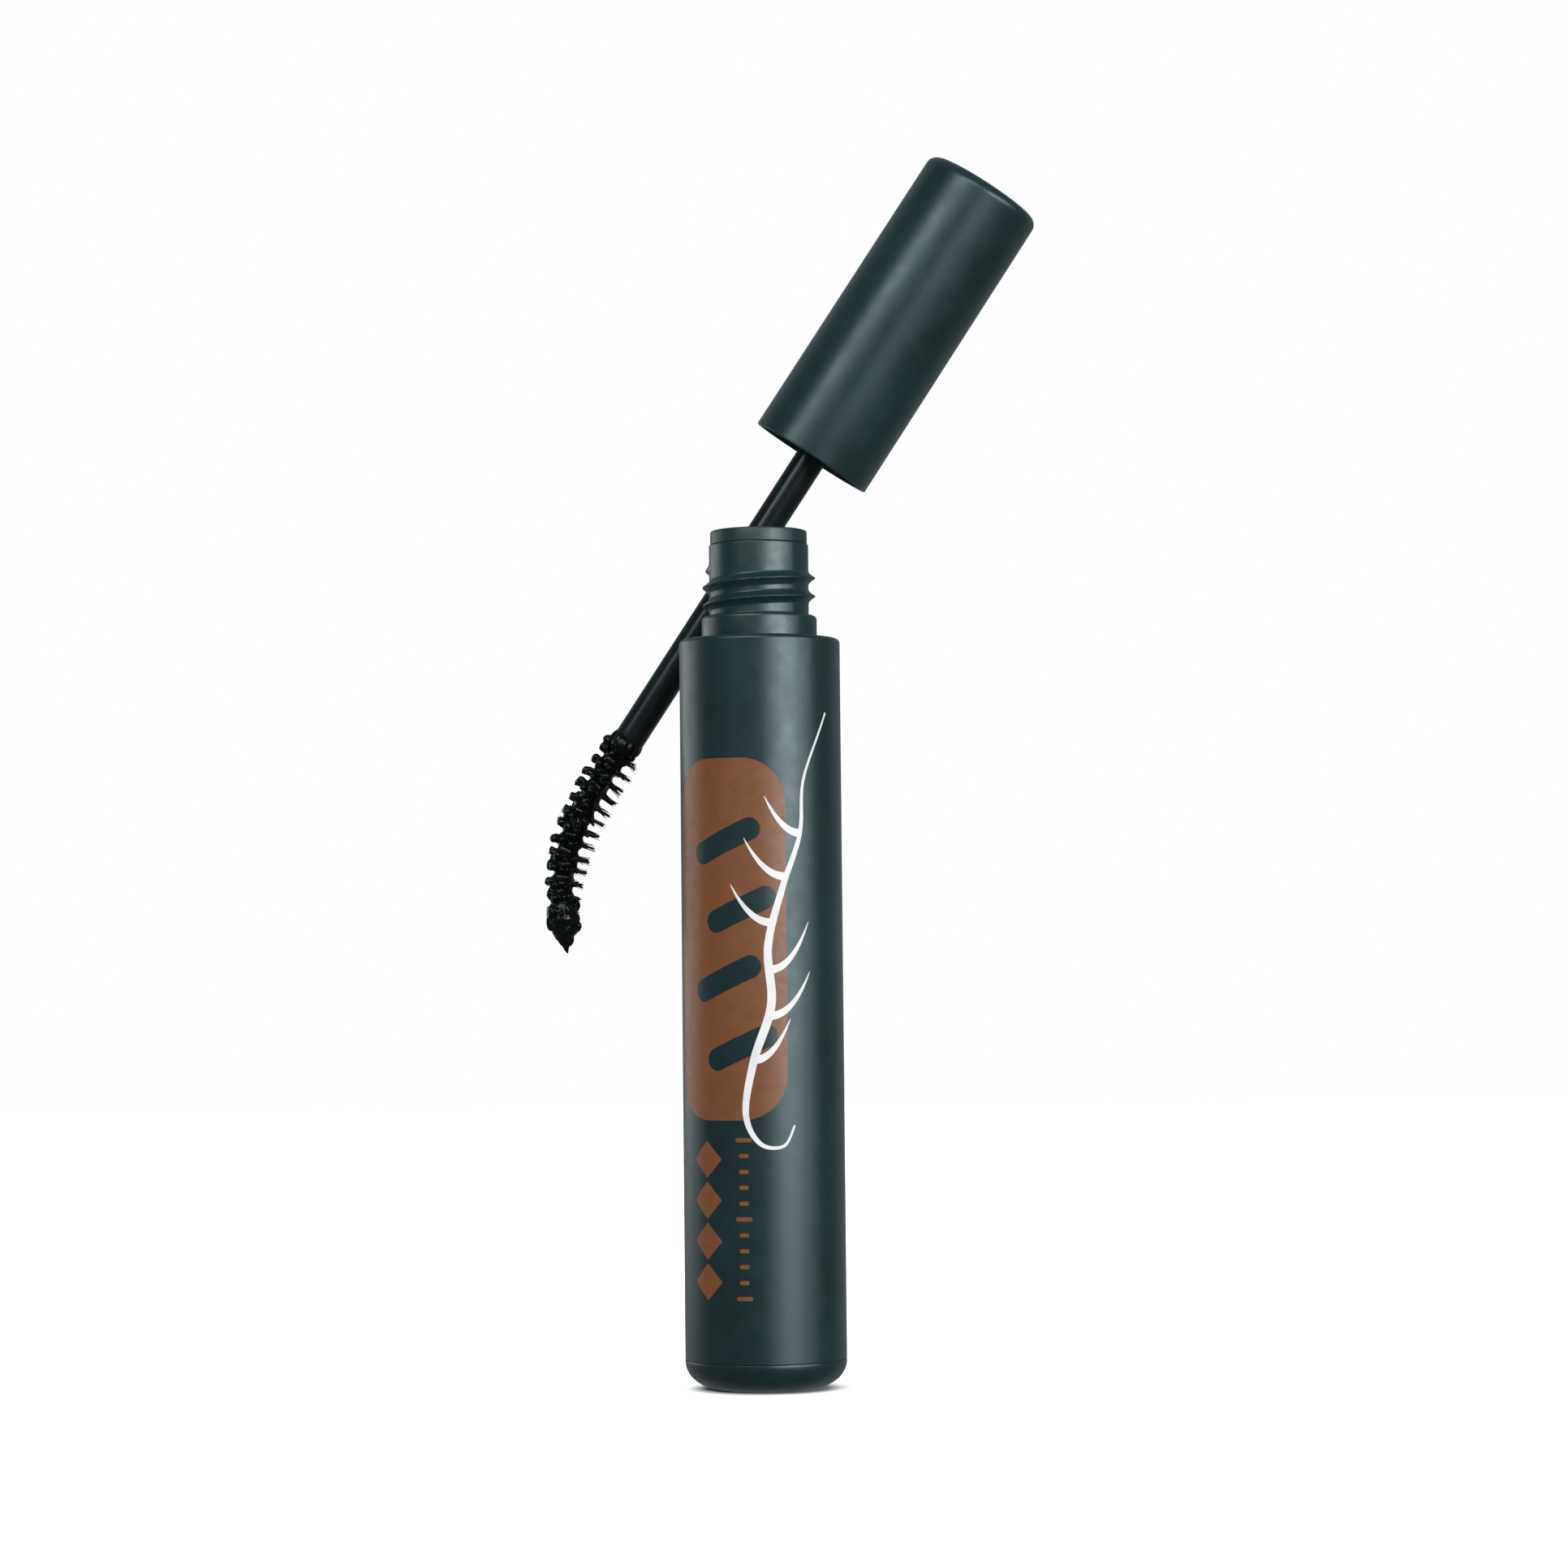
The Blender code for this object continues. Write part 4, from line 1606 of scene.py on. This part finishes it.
    def fibre_row(self, row: int, pattern: bpy.types.Mesh) -> Piece:
        """Build one turn of fibres.

        Args:
            row: Its number from the stem.
            pattern: The unit fibre.

        Returns:
            The turn, upright with the rest of the wand.
        """
        draws = random.Random(100 + row)
        gather = bmesh.new()
        for clump in self.clump_places(row):
            for _ in range(self.fibres):
                turn = clump.around + draws.uniform(-0.12, 0.12)
                along = clump.along + draws.uniform(-0.2, 0.2)
                length = min(clump.length * draws.uniform(0.96, 1.06), self.reach_at(along))
                place = self.line.at(along) @ replace(clump, around=turn).turn()
                copy = pattern.copy()
                for vertex in copy.vertices:
                    t = vertex.co.z
                    lift = vertex.co.x * self.fibre - clump.droop * t * t - (along - clump.along) * t
                    side, out = vertex.co.y * self.fibre, 0.4 + t * (length - 0.4)
                    vertex.co = place @ (Vector((lift, side, out)) * MM)
                gather.from_mesh(copy)
                bpy.data.meshes.remove(copy)
        piece = gathered(gather, f"fibre_turn_{row + 1:02d}")
        shade(piece, 60.0)
        return piece

    def build(self, finishes: dict[Slot, Material]) -> None:
        """Build the wire, the fibres and the paste, and hand them to the frame.

        Args:
            finishes: The finish of each slot.
        """
        made = [(self.twisted_wire(), Slot.WIRE, ["brush_wire"])]
        pattern = self.fibre_pattern()
        for row in range(self.rows):
            made.append((self.fibre_row(row, pattern), Slot.BRISTLES, [f"bristle_row_{row + 1:02d}"]))
        bpy.data.meshes.remove(pattern)
        made.append((self.paste(), Slot.PASTE, []))
        for piece, slot, nodes in made:
            settle(piece, self.axis.matrix())
            dress(piece, finishes[slot])
            adopt(piece, Body.WAND, nodes)


# ---------------------------------------------------------------- studio


@dataclass(frozen=True)
class Panel:
    """A softbox, in metres, placed round the tube by degrees to the right of the camera."""

    name: str
    azimuth: float
    away: float
    size: Point
    height: float
    glow: float  # radiance
    aim: Triple = (0.0, 0.0, 0.07)
    mirrored: bool = True  # whether gloss reflects it


@dataclass
class Studio:
    """Camera, floor and soft light."""

    distance: float = 470.0  # from the tube's axis to the camera
    eye: tuple[float, float] = (2.68, 43.6)  # right of the tube's axis, and up
    aim_up: float = 3.12
    roll: float = 0.57
    lens: float = 93.67
    room_front: float = 0.055
    room_back: float = 0.26
    room_tint: Colour = (0.84, 1.0, 1.03)
    room_turns: Point = (0.05, 0.75)  # where the front's light begins to rise, and where it is the back's
    floor_width: float = 2800.0
    floor_drop: float = 0.02  # keeps the floor just under the foot
    panels: Sequence[Panel] = (
        Panel("key_softbox", 38.0, 2.0, (1.10, 0.60), 0.30, 8.5),
        Panel("key_skirt", 42.0, 2.1, (2.80, 0.60), 0.30, 6.0),
        Panel("high_softbox", -23.0, 0.75, (0.78, 0.19), 0.50, 10.0, (0.02, 0.0, 0.125)),
        Panel("left_fill", -122.0, 0.75, (0.60, 0.26), 0.13, 1.8),
        Panel("floor_wash", 0.0, 0.0, (5.0, 5.0), 2.2, 2.9, (0.0, 0.0, 0.0), mirrored=False),
    )

    def add_camera(self) -> None:
        """Place the camera in front of the tube, low and slightly rolled."""
        aim, roll = math.radians(self.aim_up), math.radians(self.roll)
        right = Vector((1.0, 0.0, 0.0))
        up = Vector((0.0, -math.sin(aim), math.cos(aim)))
        back = Vector((0.0, -math.cos(aim), -math.sin(aim)))
        tilted_right = math.cos(roll) * right - math.sin(roll) * up
        tilted_up = math.sin(roll) * right + math.cos(roll) * up
        data = bpy.data.cameras.new("camera")
        data.lens = self.lens
        data.sensor_width = 36.0
        data.clip_start, data.clip_end = 0.01, 20.0
        camera = bpy.data.objects.new("camera", data)
        turn = Matrix((tilted_right, tilted_up, back)).transposed().to_4x4()
        place = Vector((self.eye[0], -self.distance, self.eye[1])) * MM
        camera.matrix_world = Matrix.Translation(place) @ turn
        bpy.context.scene.collection.objects.link(camera)
        bpy.context.scene.camera = camera

    def add_panel(self, panel: Panel) -> None:
        """Hang one softbox.

        Args:
            panel: The softbox.
        """
        data = bpy.data.lights.new(panel.name, "AREA")
        data.shape = "RECTANGLE"
        data.size, data.size_y = panel.size
        data.energy = panel.glow * math.pi * panel.size[0] * panel.size[1]
        light = bpy.data.objects.new(panel.name, data)
        angle = math.radians(panel.azimuth)
        place = Vector((math.sin(angle) * panel.away, -math.cos(angle) * panel.away, panel.height))
        light.location = place
        light.rotation_euler = (Vector(panel.aim) - place).to_track_quat("-Z", "Y").to_euler()
        light.visible_glossy = panel.mirrored
        bpy.context.scene.collection.objects.link(light)

    def add_floor(self) -> None:
        """Lay the pale floor."""
        low = -self.floor_drop * MM
        floor = added(bpy.ops.mesh.primitive_plane_add, size=self.floor_width * MM, location=(0, 0, low))
        floor.name = floor.data.name = "studio_floor"
        floor.visible_glossy = False
        dress(floor, Paper("pale_paper").make())

    def add_sky(self) -> None:
        """Light the room: bright behind the tube, dimmer on the camera's side, white to the eye."""
        world = bpy.data.worlds.new("room")
        world.use_nodes = True
        tree = world.node_tree
        room = tree.nodes["Background"]
        room.inputs["Color"].default_value = (*self.room_tint, 1.0)
        place = tree.nodes.new("ShaderNodeTexCoord")
        split = tree.nodes.new("ShaderNodeSeparateXYZ")
        fall = tree.nodes.new("ShaderNodeMapRange")
        fall.interpolation_type = "SMOOTHSTEP"
        fall.inputs["From Min"].default_value, fall.inputs["From Max"].default_value = self.room_turns
        fall.inputs["To Min"].default_value = self.room_front
        fall.inputs["To Max"].default_value = self.room_back
        tree.links.new(place.outputs["Generated"], split.inputs["Vector"])
        tree.links.new(split.outputs["Y"], fall.inputs["Value"])
        tree.links.new(fall.outputs["Result"], room.inputs["Strength"])
        seen = tree.nodes.new("ShaderNodeBackground")
        seen.inputs["Color"].default_value = (1.0, 1.0, 1.0, 1.0)
        path = tree.nodes.new("ShaderNodeLightPath")
        mix = tree.nodes.new("ShaderNodeMixShader")
        tree.links.new(path.outputs["Is Camera Ray"], mix.inputs["Fac"])
        tree.links.new(room.outputs["Background"], mix.inputs[1])
        tree.links.new(seen.outputs["Background"], mix.inputs[2])
        tree.links.new(mix.outputs["Shader"], tree.nodes["World Output"].inputs["Surface"])
        bpy.context.scene.world = world

    def build(self) -> None:
        """Set up the whole studio."""
        bpy.context.scene.view_settings.view_transform = "Standard"
        self.add_camera()
        self.add_floor()
        self.add_sky()
        for panel in self.panels:
            self.add_panel(panel)


def main() -> None:
    """Build the studio, then every piece of the object in the order that it is put together."""
    logging.basicConfig(level=logging.INFO, format="%(name)s: %(message)s")
    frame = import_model()
    Studio().build()

    lacquer = SoftTouch("soft_touch_lacquer").make()
    paste = WetPaste("wet_mascara").make()
    TubeBody().build(lacquer)
    Neck().build(
        Moulded("satin_neck_plastic", (0.0036, 0.0112, 0.0124), 0.345).make(),
        Moulded("soft_wiper_plastic", (0.0038, 0.0114, 0.0126), 0.40).make(),
        paste,
    )
    Print().build(
        Ink("copper_ink", (0.090, 0.0305, 0.0090), (0.077, 0.026, 0.0078), 0.40).make(),
        Ink("white_ink", (0.37, 0.372, 0.37), (0.33, 0.332, 0.332), 0.5).make(),
    )
    finishes = {
        Slot.CAP: lacquer,
        Slot.LINER: Moulded("black_liner_plastic", (0.006, 0.0075, 0.0075), 0.36).make(),
        Slot.FOAM: Foam("white_foam").make(),
        Slot.STEM: Polished("polished_black").make(),
        Slot.WIRE: TwistedSteel("twisted_steel").make(),
        Slot.BRISTLES: Moulded("black_nylon", (0.0040, 0.0045, 0.0048), 0.28, 0.05).make(),
        Slot.PASTE: paste,
    }
    axis = WandAxis.from_frame(frame["joints"])
    Cap(axis).build(finishes)
    Brush(axis).build(finishes)


if __name__ == "__main__":
    main()
